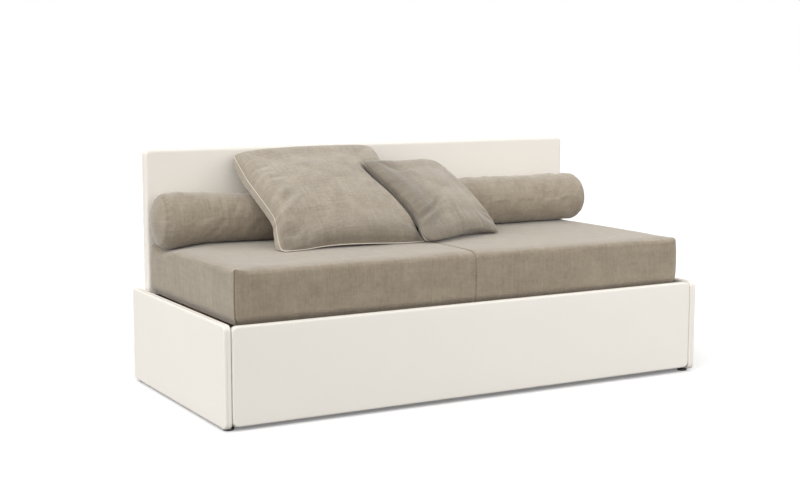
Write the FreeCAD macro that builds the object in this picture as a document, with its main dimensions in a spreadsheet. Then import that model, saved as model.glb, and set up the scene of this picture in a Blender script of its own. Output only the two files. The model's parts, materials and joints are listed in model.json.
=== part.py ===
import FreeCAD, Part
import math
import os
import re

import Sketcher
from FreeCAD import Placement, Rotation, Vector

# A daybed sofa bed with a second bed that pulls out from under it on castors.
# Millimetres, +X along its length, the front faces -Y, +Z up, origin on the floor at its centre.

SIZES = {
    # whole base
    "overall_length": 2080,
    "overall_depth": 960,
    "panel_top": 376,
    "foot_height": 8,
    "front_clearance": 17,
    "front_drop": 4,
    # end and front panels
    "panel_thickness": 28,
    "panel_board": 18,
    "panel_corner": 22,
    "panel_roll": 10,
    "panel_gap": 2.5,
    "cover_fit": 0.2,
    "cover_slit": 14,
    "slit_inset": 2,
    # back panel
    "backrest_end_gap": 18,
    "backrest_thickness": 50,
    "backrest_board": 22,
    "backrest_top": 926,
    "backrest_bottom": 40,
    "backrest_inset": 8,
    "backrest_corner": 20,
    "backrest_roll": 14,
    # glide feet
    "foot_diameter": 40,
    "foot_inset": 40,
    "foot_offset": 15,
    "foot_boss": 8,
    "foot_edge": 2,
    "stem_diameter": 5,
    "stem_length": 24,
    # both slatted frames
    "rail_width": 25,
    "tube_wall": 2,
    "tube_corner": 3,
    "slat_width": 68,
    "slat_thickness": 8,
    "slat_camber": 10,
    "slat_count": 14,
    "slat_end_room": 20,
    "holder_floor": 2,
    "holder_wall": 3,
    "holder_depth": 34,
    "holder_slot": 11.5,
    "slat_fit": 0.6,
    # main bed frame
    "rail_height": 40,
    "frame_top": 336,
    "frame_front_gap": 12,
    "frame_rear_gap": 8,
    # brackets, angles and bolts
    "bracket_plate": 4,
    "bracket_width": 60,
    "bracket_drop": 56,
    "bracket_foot": 34,
    "bracket_inset": 150,
    "bolt_spacing": 30,
    "angle_end_leg": 40,
    "angle_back_leg": 76,
    "angle_low": 60,
    "angle_height": 220,
    "bolt_diameter": 6,
    "bolt_fit": 0.15,
    "bolt_length": 18,
    "bolt_head": 12,
    "bolt_head_height": 4,
    # main mattress
    "mattress_height": 206,
    "mattress_end_gap": 26,
    "mattress_front_gap": 7,
    "mattress_rear_gap": 4,
    "mattress_edge": 26,
    "mattress_crown": 5,
    "mattress_bulge": 4,
    "seam_depth": 5,
    "seam_reach": 22,
    "rest_gap": 0.6,
    # bolsters
    "bolster_diameter": 206,
    "bolster_end_inset": 48,
    "bolster_middle_gap": 16,
    "bolster_back_gap": 8,
    "bolster_round": 40,
    # large cushion
    "large_size": 604,
    "large_draw_in": 16,
    "large_front_crown": 88,
    "large_back_crown": 40,
    "large_lean_deg": 33,
    "large_offset": 30,
    # small cushion
    "small_size": 440,
    "small_draw_in": 12,
    "small_front_crown": 66,
    "small_back_crown": 28,
    "small_lean_deg": 38.6,
    "small_turn_deg": 22.4,
    "small_reach": 154,
    "small_stand_off": 216,
    "cushion_edge": 4,
    "cushion_clearance": 4,
    # pull-out bed
    "castor_height": 72,
    "trundle_rail_height": 30,
    "trundle_end_gap": 37,
    "trundle_rear_gap": 40,
    "trundle_mattress_height": 150,
    "trundle_mattress_gap": 14,
    "trundle_mattress_inset": 8,
    "front_bracket_rise": 62,
    "front_bracket_inset": 300,
    # castors
    "wheel_diameter": 60,
    "wheel_width": 22,
    "axle_diameter": 8,
    "axle_fit": 0.05,
    "axle_head": 12,
    "axle_head_height": 2,
    "fork_plate": 3,
    "fork_length": 56,
    "fork_gap": 25,
    "fork_end": 12,
    "fork_round": 8,
    "castor_inset": 70,
}

PLACES = {
    "inner_x": "overall_length / 2 - panel_thickness",
    "backrest_half": "inner_x - backrest_end_gap",
    "front_y": "-overall_depth / 2",
    "rear_y": "overall_depth / 2",
    "front_inner_y": "front_y + panel_thickness",
    "end_middle_x": "inner_x + panel_thickness / 2",
    "backrest_rear_y": "rear_y - backrest_inset",
    "backrest_front_y": "backrest_rear_y - backrest_thickness",
    "cover_wall": "(panel_thickness - panel_board) / 2",
    "board_bottom": "foot_height + cover_wall",
    "frame_half": "inner_x - bracket_plate",
    "frame_front_y": "front_inner_y + frame_front_gap",
    "frame_rear_y": "backrest_front_y - frame_rear_gap",
    "frame_bottom": "frame_top - rail_height",
    "slat_rise": "holder_floor + slat_fit + slat_thickness + slat_camber",
    "mattress_bottom": "frame_top + slat_rise + rest_gap",
    "mattress_top": "mattress_bottom + mattress_height",
    "mattress_half": "inner_x - mattress_end_gap",
    "mattress_front_y": "front_inner_y + mattress_front_gap",
    "mattress_rear_y": "backrest_front_y - mattress_rear_gap",
    "bolster_radius": "bolster_diameter / 2",
    "bolster_y": "backrest_front_y - bolster_back_gap - bolster_radius",
    "bolster_z": "mattress_top + rest_gap + bolster_radius",
    "bolster_outer_x": "overall_length / 2 - bolster_end_inset",
    "large_x": "-large_offset - large_size / 2",
    "small_x": "small_reach - large_offset",
    "small_y": "bolster_y - small_stand_off",
    "trundle_half": "inner_x - trundle_end_gap",
    "trundle_front_y": "front_inner_y + bracket_plate",
    "trundle_rear_y": "backrest_front_y - trundle_rear_gap",
    "trundle_top": "castor_height + trundle_rail_height",
    "trundle_mattress_bottom": "trundle_top + slat_rise + rest_gap",
    "trundle_mattress_top": "trundle_mattress_bottom + trundle_mattress_height",
    "castor_x": "trundle_half - rail_width / 2",
    "castor_front_y": "trundle_front_y + castor_inset",
    "castor_rear_y": "trundle_rear_y - castor_inset",
    "bracket_y": "overall_depth / 2 - bracket_inset",
    "bracket_bolt_z": "frame_bottom - bracket_drop / 2",
    "angle_bolt_x": "inner_x - angle_back_leg + bolt_spacing / 2",
    "angle_bolt_low": "angle_low + angle_height / 4",
    "angle_bolt_high": "angle_low + angle_height * 3 / 4",
    "front_bolt_z": "trundle_top + front_bracket_rise / 2",
    "front_bracket_x": "trundle_half - front_bracket_inset",
}

doc = FreeCAD.newDocument("SofaBed")


def cells(text):
    """Point each size or place that an expression names at its cell."""
    def owner(word):
        name = word.group()
        return ("Sizes." if name in SIZES else "Places.") + name
    return re.sub(r"[a-z][a-z_]+", owner, text)


def fill_sheet(name, rows, as_text):
    sheet = doc.addObject("Spreadsheet::Sheet", name)
    for row, (alias, value) in enumerate(rows.items(), start=1):
        sheet.set(f"A{row}", alias.replace("_", " "))
        sheet.set(f"B{row}", as_text(value))
        sheet.setAlias(f"B{row}", alias)
    doc.recompute()
    return sheet


def place_formula(text):
    """A place's own sheet needs no name before its cells, the sizes' sheet does."""
    return "=" + cells(text).replace("Places.", "")


sizes = fill_sheet("Sizes", SIZES, str)
places = fill_sheet("Places", PLACES, place_formula)


def value(name):
    """The number that a size or a place holds now."""
    return float(getattr(sizes if name in SIZES else places, name))


# Features shared by the pieces


def new_body(label):
    body = doc.addObject("PartDesign::Body", label)
    body.Label = label
    return body


def origin_part(body, role):
    return next(part for part in body.Origin.OriginFeatures if part.Role == role)


def new_sketch(body, role, offset="0"):
    """A sketch on one of the body's origin planes, moved along the plane's normal."""
    sketch = body.newObject("Sketcher::SketchObject", body.Name + "_sketch")
    sketch.AttachmentSupport = [(origin_part(body, role), "")]
    sketch.MapMode = "FlatFace"
    sketch.setExpression(".AttachmentOffset.Base.z", cells(offset))
    return sketch


def bind(sketch, kind, geometry, point, text):
    """Tie one coordinate of a sketch point, from where it is drawn, to an expression."""
    drawn = sketch.getPoint(geometry, point)
    distance = drawn.x if kind == "DistanceX" else drawn.y
    index = sketch.addConstraint(Sketcher.Constraint(kind, -1, 1, geometry, point, distance))
    sketch.setExpression(f"Constraints[{index}]", cells(text))


def outline(sketch, points):
    """A closed polygon whose corners are pairs of expressions."""
    first = sketch.GeometryCount
    count = len(points)
    for number in range(count):
        angle = 2 * math.pi * number / count
        following = 2 * math.pi * (number + 1) / count
        start = Vector(math.cos(angle), math.sin(angle), 0)
        end = Vector(math.cos(following), math.sin(following), 0)
        sketch.addGeometry(Part.LineSegment(start, end), False)
    for number in range(count):
        follower = first + (number + 1) % count
        sketch.addConstraint(Sketcher.Constraint("Coincident", first + number, 2, follower, 1))
    for number, (across, up) in enumerate(points):
        bind(sketch, "DistanceX", first + number, 1, across)
        bind(sketch, "DistanceY", first + number, 1, up)


def rectangle(sketch, left, right, low, high):
    outline(sketch, [(left, low), (right, low), (right, high), (left, high)])


def circle(sketch, across, up, diameter):
    index = sketch.addGeometry(Part.Circle(Vector(0, 0, 0), Vector(0, 0, 1), 1), False)
    bind(sketch, "DistanceX", index, 3, across)
    bind(sketch, "DistanceY", index, 3, up)
    drawn = 2 * sketch.Geometry[index].Radius
    constraint = sketch.addConstraint(Sketcher.Constraint("Diameter", index, drawn))
    sketch.setExpression(f"Constraints[{constraint}]", cells(diameter))


def pad(body, sketch, length, symmetric=False, reverse=False):
    feature = body.newObject("PartDesign::Pad", body.Name + "_pad")
    feature.Profile = sketch
    feature.setExpression("Length", cells(length))
    feature.SideType = "Symmetric" if symmetric else "One side"
    feature.Reversed = reverse
    body.Tip = feature
    return feature


def pocket(body, sketch, length, symmetric=False, reverse=False):
    """A cut whose direction is proved by the volume that it takes away."""
    doc.recompute()
    before = body.Shape.Volume
    feature = body.newObject("PartDesign::Pocket", body.Name + "_pocket")
    feature.Profile = sketch
    feature.setExpression("Length", cells(length))
    feature.SideType = "Symmetric" if symmetric else "One side"
    feature.Reversed = reverse
    body.Tip = feature
    doc.recompute()
    if body.Shape.Volume >= before:
        raise RuntimeError(f"{feature.Name} cuts nothing")
    return feature


def revolve(body, sketch, role):
    feature = body.newObject("PartDesign::Revolution", body.Name + "_turn")
    feature.Profile = sketch
    feature.ReferenceAxis = (origin_part(body, role), [""])
    feature.Angle = 360
    body.Tip = feature
    return feature


def fillet(body, chosen, radius):
    """Round the edges of the body's last feature that the test picks."""
    doc.recompute()
    base = body.Tip
    names = [f"Edge{number}" for number, edge in enumerate(base.Shape.Edges, start=1) if chosen(edge)]
    feature = body.newObject("PartDesign::Fillet", body.Name + "_fillet")
    feature.Base = (base, names)
    feature.setExpression("Radius", cells(radius))
    body.Tip = feature
    return feature


def pattern(body, role, spacing, count):
    """Repeat the whole body along one of its axes."""
    feature = body.newObject("PartDesign::LinearPattern", body.Name + "_row")
    feature.TransformMode = "Whole shape"
    feature.Direction = (origin_part(body, role), [""])
    feature.Mode = "Spacing"
    feature.setExpression("Offset", cells(spacing))
    feature.setExpression("Occurrences", cells(count))
    body.Tip = feature
    return feature


def mirror(body, role):
    feature = body.newObject("PartDesign::Mirrored", body.Name + "_mirror")
    feature.TransformMode = "Whole shape"
    feature.MirrorPlane = (origin_part(body, role), [""])
    body.Tip = feature
    return feature


def put(piece, x="0", y="0", z="0"):
    """Tie a piece's place to expressions."""
    for axis, text in zip("xyz", (x, y, z)):
        piece.setExpression(f".Placement.Base.{axis}", cells(text))
    return piece


def cylinder(name, radius, height, direction, x, y, z):
    """A round bar that starts at x, y, z and runs along the direction."""
    bar = doc.addObject("Part::Cylinder", name)
    bar.Placement = Placement(Vector(0, 0, 0), Rotation(Vector(0, 0, 1), direction))
    bar.setExpression("Radius", cells(radius))
    bar.setExpression("Height", cells(height))
    return put(bar, x, y, z)


def group(label, members):
    compound = doc.addObject("Part::Compound", label)
    compound.Label = label
    compound.Links = members
    return compound


def cut(label, base, tool):
    piece = doc.addObject("Part::Cut", label)
    piece.Label = label
    piece.Base = base
    piece.Tool = tool
    return piece


TOLERANCE = 0.01


def runs_along(edge, axis):
    """True for a straight edge that is parallel to the axis."""
    if not isinstance(edge.Curve, Part.Line):
        return False
    return edge.tangentAt(edge.FirstParameter).cross(axis).Length < TOLERANCE


def on_face(edge, normal, distance):
    """True for an edge that lies in the plane at a distance from the origin."""
    ends = [edge.valueAt(edge.FirstParameter), edge.valueAt(edge.LastParameter)]
    return all(abs(point.dot(normal) - distance) < TOLERANCE for point in ends)


# Bolts


def bolt_places(*rows):
    return [dict(zip(("direction", "x", "y", "z"), row)) for row in rows]


def bolts(label, spots):
    """Round-headed bolts: the shank runs on from the plate's face, and the head stands behind it."""
    members = []
    for number, spot in enumerate(spots):
        direction = spot["direction"]
        shank = cylinder(f"{label}_shank_{number}", "bolt_diameter / 2", "bolt_length", direction,
                         spot["x"], spot["y"], spot["z"])
        head = cylinder(f"{label}_head_{number}", "bolt_head / 2", "bolt_head_height", direction * -1,
                        spot["x"], spot["y"], spot["z"])
        bolt = doc.addObject("Part::Fuse", f"{label}_{number}")
        bolt.Base = shank
        bolt.Tool = head
        members.append(bolt)
    return group(label, members)


def drills(label, spots):
    """The holes that the bolts of these places pass through."""
    return group(label, [
        cylinder(f"{label}_{number}", "bolt_diameter / 2 + bolt_fit", "bolt_length + bolt_fit",
                 spot["direction"], spot["x"], spot["y"], spot["z"])
        for number, spot in enumerate(spots)
    ])


OUT_RIGHT = Vector(1, 0, 0)
OUT_LEFT = Vector(-1, 0, 0)
OUT_REAR = Vector(0, 1, 0)
OUT_FRONT = Vector(0, -1, 0)
UP = Vector(0, 0, 1)

SIDES = (("left", -1, OUT_LEFT), ("right", 1, OUT_RIGHT))

end_bolts = {
    side: bolt_places(*[
        (out, f"{sign} * frame_half", f"{row} * bracket_y + {step} * bolt_spacing / 2", "bracket_bolt_z")
        for row in (-1, 1) for step in (-1, 1)
    ])
    for side, sign, out in SIDES
}
angle_end_bolts = {
    side: bolt_places(*[
        (out, f"{sign} * frame_half", "backrest_front_y - angle_end_leg / 2", level)
        for level in ("angle_bolt_low", "angle_bolt_high")
    ])
    for side, sign, out in SIDES
}
angle_back_bolts = bolt_places(*[
    (OUT_REAR, f"{sign} * angle_bolt_x", "backrest_front_y - bracket_plate", level)
    for side, sign, out in SIDES for level in ("angle_bolt_low", "angle_bolt_high")
])
front_bolts = bolt_places(*[
    (OUT_FRONT, f"{row} * front_bracket_x + {step} * bolt_spacing / 2", "trundle_front_y", "front_bolt_z")
    for row in (-1, 0, 1) for step in (-1, 1)
])


# Upholstered panels: a board inside a padded cover that is open along its lower edge


def slab(label, role, normal, middle, edges, thickness, corner):
    """A board with rounded corners, on both sides of a middle plane."""
    body = new_body(label)
    sketch = new_sketch(body, role, middle)
    rectangle(sketch, *edges)
    pad(body, sketch, thickness, symmetric=True)
    fillet(body, lambda edge: runs_along(edge, normal), corner)
    return body


def panel(name, role, normal, middle, edges, thickness, board, corner, roll, spots, feet=None):
    left, right, low, high = edges
    wall = f"(({thickness} - {board}) / 2)"
    inset = (f"{left} + {wall}", f"{right} - {wall}", f"{low} + {wall}", f"{high} - {wall}")
    fit = "cover_fit"
    room = tuple(f"{edge} {sign} {fit}" for edge, sign in zip(inset, "-+-+"))
    holes = drills(name + "_holes", spots)

    plain_board = slab(name + "_plain_board", role, normal, middle, inset, board, f"{corner} - {wall}")
    if feet:
        plain_board = cut(name + "_drilled_board", plain_board, feet)
    board_piece = cut(name + "_board", plain_board, holes)

    hollow = slab(name + "_hollow", role, normal, middle, room, f"{board} + 2 * {fit}",
                  f"{corner} - {wall} + {fit}")
    slit = new_sketch(hollow, role, middle)
    rectangle(slit, f"{left} + {corner} + slit_inset", f"{right} - {corner} - slit_inset",
              f"{low} - {wall}", f"{low} + 2 * {wall}")
    pad(hollow, slit, "cover_slit", symmetric=True)

    skin = slab(name + "_skin", role, normal, middle, edges, thickness, corner)
    doc.recompute()
    faces = [skin.Shape.BoundBox.Center.dot(normal) + side * value(thickness) / 2 for side in (-1, 1)]
    fillet(skin, lambda edge: any(on_face(edge, normal, face) for face in faces), roll)
    padded = cut(name + "_padded", skin, hollow)
    cover_piece = cut(name + "_cover", padded, holes)
    return [board_piece, cover_piece]


def foot_stems():
    """The holes that the feet's stems are driven into."""
    return group("stem_holes", [
        cylinder(f"stem_hole_{side}_{row}", "stem_diameter / 2 + bolt_fit", "stem_length + bolt_fit", UP,
                 f"{sign} * end_middle_x", f"{row} * (overall_depth / 2 - foot_inset)", "board_bottom")
        for side, sign, out in SIDES for row in (-1, 1)
    ])


def end_panels():
    stems = foot_stems()
    pieces = []
    for side, sign, out in SIDES:
        pieces += panel(side + "_end", "YZ_Plane", OUT_RIGHT, f"{sign} * end_middle_x",
                        ("front_y", "rear_y", "foot_height", "panel_top"),
                        "panel_thickness", "panel_board", "panel_corner", "panel_roll",
                        end_bolts[side] + angle_end_bolts[side], stems)
    return pieces


def front_panel():
    half = "(inner_x - panel_gap)"
    return panel("front", "XZ_Plane", OUT_REAR, "-(front_y + panel_thickness / 2)",
                 (f"-{half}", half, "front_clearance", "panel_top - front_drop"),
                 "panel_thickness", "panel_board", "panel_corner", "panel_roll", front_bolts)


def back_panel():
    return panel("backrest", "XZ_Plane", OUT_REAR, "-(backrest_rear_y - backrest_thickness / 2)",
                 ("-backrest_half", "backrest_half", "backrest_bottom", "backrest_top"),
                 "backrest_thickness", "backrest_board", "backrest_corner", "backrest_roll", angle_back_bolts)


def feet():
    """Round glides, set in from the outer faces: each has a boss under the board and a stem driven into it."""
    members = []
    for side, sign, out in SIDES:
        for row in (-1, 1):
            body = new_body(f"{side}_foot_{row}".replace("-", "m"))
            glide = new_sketch(body, "XZ_Plane")
            outline(glide, [
                ("0", "0"),
                ("foot_diameter / 2 - foot_edge", "0"),
                ("foot_diameter / 2", "foot_edge"),
                ("foot_diameter / 2", "foot_height"),
                ("0", "foot_height"),
            ])
            revolve(body, glide, "Z_Axis")
            boss = new_sketch(body, "XY_Plane", "foot_height")
            circle(boss, f"{sign} * foot_offset", "0", "foot_boss")
            pad(body, boss, "cover_wall")
            stem = new_sketch(body, "XY_Plane", "board_bottom")
            circle(stem, f"{sign} * foot_offset", "0", "stem_diameter")
            pad(body, stem, "stem_length")
            members.append(put(body, f"{sign} * (end_middle_x - foot_offset)",
                               f"{row} * (overall_depth / 2 - foot_inset)"))
    return [group("feet", members)]


# Slatted steel frames


def tube(label, role, section, start, length):
    """A rectangular steel tube that runs along the plane's normal from its start."""
    body = new_body(label)
    left, right, low, high = section
    sketch = new_sketch(body, role, start)
    rectangle(sketch, left, right, low, high)
    pad(body, sketch, length)
    along = OUT_RIGHT if role == "YZ_Plane" else OUT_REAR
    fillet(body, lambda edge: runs_along(edge, along), "tube_corner")
    bore = new_sketch(body, role, start)
    rectangle(bore, f"{left} + tube_wall", f"{right} - tube_wall",
              f"{low} + tube_wall", f"{high} - tube_wall")
    pocket(body, bore, length, reverse=True)
    return body


def slatted_frame(name, half, front, rear, top, height):
    """Front and rear rails, end rails and a middle rail between them, bowed slats and their holders."""
    low = f"{top} - {height}"
    between = f"({rear}) - ({front}) - 2 * rail_width"
    front_section = (front, f"{front} + rail_width", low, top)
    rear_section = (f"{rear} - rail_width", rear, low, top)
    pieces = [
        tube(f"{name}_front_rail", "YZ_Plane", front_section, f"-{half}", f"2 * {half}"),
        tube(f"{name}_rear_rail", "YZ_Plane", rear_section, f"-{half}", f"2 * {half}"),
    ]
    starts = {"left": f"-{half}", "middle": "-rail_width / 2", "right": f"{half} - rail_width"}
    for label, left in starts.items():
        pieces.append(tube(f"{name}_{label}_rail", "XZ_Plane", (left, f"{left} + rail_width", low, top),
                           f"rail_width - ({rear})", between))
    pieces.append(slats(f"{name}_slats", half, front, rear, top))
    pieces.append(slat_holders(f"{name}_slat_holders", half, front, rear, top))
    return pieces


def slat_pitch(half):
    return f"(2 * {half} - slat_width - 2 * slat_end_room) / (slat_count - 1)"


def first_slat(half):
    return f"slat_width / 2 + slat_end_room - {half}"


def slats(label, half, front, rear, top):
    """A row of thin wooden slats, each bowed upwards."""
    body = new_body(label)
    reach = f"((({rear}) - ({front})) / 2 - holder_wall - slat_fit)"
    radius = f"({reach} * {reach} + slat_camber * slat_camber) / (2 * slat_camber)"
    sketch = new_sketch(body, "YZ_Plane")
    low, high = 0, value("slat_thickness")
    half_chord = (value(rear) - value(front)) / 2 - value("holder_wall") - value("slat_fit")
    camber = value("slat_camber")
    for level in (low, high):
        sketch.addGeometry(Part.Arc(Vector(half_chord, level, 0), Vector(0, level + camber, 0),
                                    Vector(-half_chord, level, 0)), False)
    for side in (-1, 1):
        foot = Vector(side * half_chord, low, 0)
        head = Vector(side * half_chord, high, 0)
        sketch.addGeometry(Part.LineSegment(foot, head), False)
    ends = {-1: f"-{reach}", 1: reach}
    start_of = {1: 1, -1: 2} if sketch.getPoint(0, 1).x > 0 else {1: 2, -1: 1}
    for line, side in ((2, -1), (3, 1)):
        sketch.addConstraint(Sketcher.Constraint("Coincident", 0, start_of[side], line, 1))
        sketch.addConstraint(Sketcher.Constraint("Coincident", 1, start_of[side], line, 2))
        bind(sketch, "DistanceX", line, 1, ends[side])
        bind(sketch, "DistanceY", line, 1, "0")
        bind(sketch, "DistanceX", line, 2, ends[side])
        bind(sketch, "DistanceY", line, 2, "slat_thickness")
    for arc in (0, 1):
        drawn = sketch.Geometry[arc].Radius
        index = sketch.addConstraint(Sketcher.Constraint("Radius", arc, drawn))
        sketch.setExpression(f"Constraints[{index}]", cells(radius))
    pad(body, sketch, "slat_width", symmetric=True)
    pattern(body, "X_Axis", slat_pitch(half), "slat_count")
    return put(body, first_slat(half), f"(({rear}) + ({front})) / 2", f"{top} + holder_floor + slat_fit")


def slat_holders(label, half, front, rear, top):
    """Moulded pockets on both rails that the slats' ends slip into."""
    body = new_body(label)
    reach = f"((({rear}) - ({front})) / 2)"
    width = "(slat_width + 2 * slat_fit + 2 * holder_wall)"
    height = "holder_floor + holder_slot + holder_wall"
    sketch = new_sketch(body, "XY_Plane")
    rectangle(sketch, f"-{width} / 2", f"{width} / 2", f"{reach} - holder_depth", reach)
    pad(body, sketch, height)
    slot = new_sketch(body, "XZ_Plane", f"holder_depth - {reach}")
    rectangle(slot, "-slat_width / 2 - slat_fit", "slat_width / 2 + slat_fit",
              "holder_floor", "holder_floor + holder_slot")
    pocket(body, slot, "holder_depth - holder_wall")
    mirror(body, "XZ_Plane")
    pattern(body, "X_Axis", slat_pitch(half), "slat_count")
    return put(body, first_slat(half), f"(({rear}) + ({front})) / 2", top)


def main_frame():
    return slatted_frame("bed", "frame_half", "frame_front_y", "frame_rear_y", "frame_top", "rail_height")


def trundle_frame():
    return slatted_frame("trundle", "trundle_half", "trundle_front_y", "trundle_rear_y", "trundle_top",
                         "trundle_rail_height")


# Brackets and angles


def bent_plate(name, role, points, length, x="0", y="0", z="0"):
    """A plate whose outline is extruded on both sides of its middle."""
    body = new_body(name)
    sketch = new_sketch(body, role)
    outline(sketch, points)
    pad(body, sketch, length, symmetric=True)
    return put(body, x, y, z)


def frame_brackets():
    """Steel angles under the end rails, bolted to the end panels."""
    members = []
    spots = []
    for side, sign, out in SIDES:
        spots += end_bolts[side]
        for row in (-1, 1):
            members.append(bent_plate(f"{side}_bracket_{row}".replace("-", "m"), "XZ_Plane", [
                (f"{sign} * inner_x", "frame_bottom - bracket_drop"),
                (f"{sign} * inner_x", "frame_top"),
                (f"{sign} * frame_half", "frame_top"),
                (f"{sign} * frame_half", "frame_bottom"),
                (f"{sign} * (inner_x - bracket_foot)", "frame_bottom"),
                (f"{sign} * (inner_x - bracket_foot)", "frame_bottom - bracket_plate"),
                (f"{sign} * frame_half", "frame_bottom - bracket_plate"),
                (f"{sign} * frame_half", "frame_bottom - bracket_drop"),
            ], "bracket_width", "0", f"{row} * bracket_y"))
    plain = group("plain_frame_brackets", members)
    return [cut("frame_brackets", plain, drills("bracket_holes", spots)), bolts("frame_bracket_bolts", spots)]


def corner_angles():
    """Upright steel angles that tie the end panels to the back panel."""
    members = []
    spots = list(angle_back_bolts)
    for side, sign, out in SIDES:
        spots += angle_end_bolts[side]
        members.append(bent_plate(f"{side}_angle", "XY_Plane", [
            (f"{sign} * inner_x", "backrest_front_y"),
            (f"{sign} * inner_x", "backrest_front_y - angle_end_leg"),
            (f"{sign} * frame_half", "backrest_front_y - angle_end_leg"),
            (f"{sign} * frame_half", "backrest_front_y - bracket_plate"),
            (f"{sign} * (inner_x - angle_back_leg)", "backrest_front_y - bracket_plate"),
            (f"{sign} * (inner_x - angle_back_leg)", "backrest_front_y"),
        ], "angle_height", "0", "0", "angle_low + angle_height / 2"))
    plain = group("plain_corner_angles", members)
    return [cut("corner_angles", plain, drills("angle_holes", spots)), bolts("corner_angle_bolts", spots)]


def front_brackets():
    """Steel angles that carry the front panel on the pull-out frame."""
    members = [
        bent_plate(f"front_bracket_{row}".replace("-", "m"), "YZ_Plane", [
            ("front_inner_y", "castor_height - bracket_plate"),
            ("front_inner_y", "trundle_top + front_bracket_rise"),
            ("trundle_front_y", "trundle_top + front_bracket_rise"),
            ("trundle_front_y", "castor_height"),
            ("front_inner_y + bracket_foot", "castor_height"),
            ("front_inner_y + bracket_foot", "castor_height - bracket_plate"),
        ], "bracket_width", f"{row} * front_bracket_x")
        for row in (-1, 0, 1)
    ]
    plain = group("plain_front_brackets", members)
    return [cut("front_brackets", plain, drills("front_bracket_holes", front_bolts)),
            bolts("front_bracket_bolts", front_bolts)]


# Castors


CASTORS = [
    (f"{row}_{side}", f"{sign} * castor_x", f"castor_{row}_y")
    for row in ("front", "rear") for side, sign, out in SIDES
]


def castor_fork(name):
    """A pressed fork: a plate with two tapering cheeks."""
    body = new_body(name + "_fork")
    axle_z = "wheel_diameter / 2"
    cheek = new_sketch(body, "YZ_Plane")
    outline(cheek, [
        ("-fork_length / 2", "castor_height"),
        ("-fork_length / 2", "castor_height - 2 * fork_plate"),
        ("-fork_end", f"{axle_z} - fork_end"),
        ("fork_end", f"{axle_z} - fork_end"),
        ("fork_length / 2", "castor_height - 2 * fork_plate"),
        ("fork_length / 2", "castor_height"),
    ])
    pad(body, cheek, "fork_gap + 2 * fork_plate", symmetric=True)
    axle_level = value("wheel_diameter") / 2
    fillet(body, lambda edge: runs_along(edge, OUT_RIGHT) and edge.BoundBox.ZMax < axle_level, "fork_round")
    throat = new_sketch(body, "XZ_Plane")
    rectangle(throat, "-fork_gap / 2", "fork_gap / 2", "0", "castor_height - fork_plate")
    pocket(body, throat, "2 * fork_length", symmetric=True)
    axle = new_sketch(body, "YZ_Plane")
    circle(axle, "0", axle_z, "axle_diameter + 2 * axle_fit")
    pocket(body, axle, "4 * fork_gap", symmetric=True)
    return body


def castor_axle(name):
    """A riveted pin with a head at each end, outside the fork's cheeks."""
    body = new_body(name + "_axle")
    end = "(fork_gap / 2 + fork_plate + axle_fit)"
    sketch = new_sketch(body, "XZ_Plane")
    outline(sketch, [
        (f"-{end} - axle_head_height", "0"),
        (f"-{end} - axle_head_height", "axle_head / 2"),
        (f"-{end}", "axle_head / 2"),
        (f"-{end}", "axle_diameter / 2"),
        (end, "axle_diameter / 2"),
        (end, "axle_head / 2"),
        (f"{end} + axle_head_height", "axle_head / 2"),
        (f"{end} + axle_head_height", "0"),
    ])
    revolve(body, sketch, "X_Axis")
    return body


def castor_wheel(name):
    """A hard one-piece wheel that turns on its axle."""
    body = new_body(name + "_wheel")
    sketch = new_sketch(body, "XZ_Plane")
    rectangle(sketch, "-wheel_width / 2", "wheel_width / 2",
              "axle_diameter / 2 + axle_fit", "wheel_diameter / 2")
    revolve(body, sketch, "X_Axis")
    return body


def castors():
    """Forks and pins stay with the pull-out bed; each wheel turns by itself."""
    axle_z = "wheel_diameter / 2"
    forks = [put(castor_fork(name), x, y) for name, x, y in CASTORS]
    axles = [put(castor_axle(name), x, y, axle_z) for name, x, y in CASTORS]
    pieces = [group("castor_forks", forks), group("castor_axles", axles)]
    return pieces + [put(castor_wheel(name), x, y, axle_z) for name, x, y in CASTORS]


# Mattresses, bolsters and cushions


def soft_feature(label, shape):
    piece = doc.addObject("Part::Feature", label)
    piece.Label = label
    piece.Shape = shape
    return piece


def mattress_section(x, front, rear, low, high, inset, edge, crown, bulge):
    """One upright section: flat below, sides that swell a little, rounded edges and a crowned top."""
    front = front + bulge + inset
    rear = rear - bulge - inset
    low = low + inset
    high = high - inset
    shoulder = high - crown
    middle = (low + shoulder) / 2
    lower = edge / 2
    slant = math.sqrt(0.5)

    def point(y, z):
        return Vector(x, y, z)

    def corner(y, z, radius, y_side, z_side):
        return point(y + y_side * radius * slant, z + z_side * radius * slant)

    stops = [
        (point(front + lower, low), None),
        (point(rear - lower, low), corner(rear - lower, low + lower, lower, 1, -1)),
        (point(rear, low + lower), point(rear + bulge, middle)),
        (point(rear, shoulder - edge), corner(rear - edge, shoulder - edge, edge, 1, 1)),
        (point(rear - edge, shoulder), point((front + rear) / 2, high)),
        (point(front + edge, shoulder), corner(front + edge, shoulder - edge, edge, -1, 1)),
        (point(front, shoulder - edge), point(front - bulge, middle)),
        (point(front, low + lower), corner(front + lower, low + lower, lower, -1, -1)),
    ]
    edges = []
    for number, (start, through) in enumerate(stops):
        end = stops[(number + 1) % len(stops)][0]
        if through is None:
            edges.append(Part.LineSegment(start, end).toShape())
        else:
            edges.append(Part.Arc(start, through, end).toShape())
    return Part.Wire(edges)


END_STEPS = 3


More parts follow.
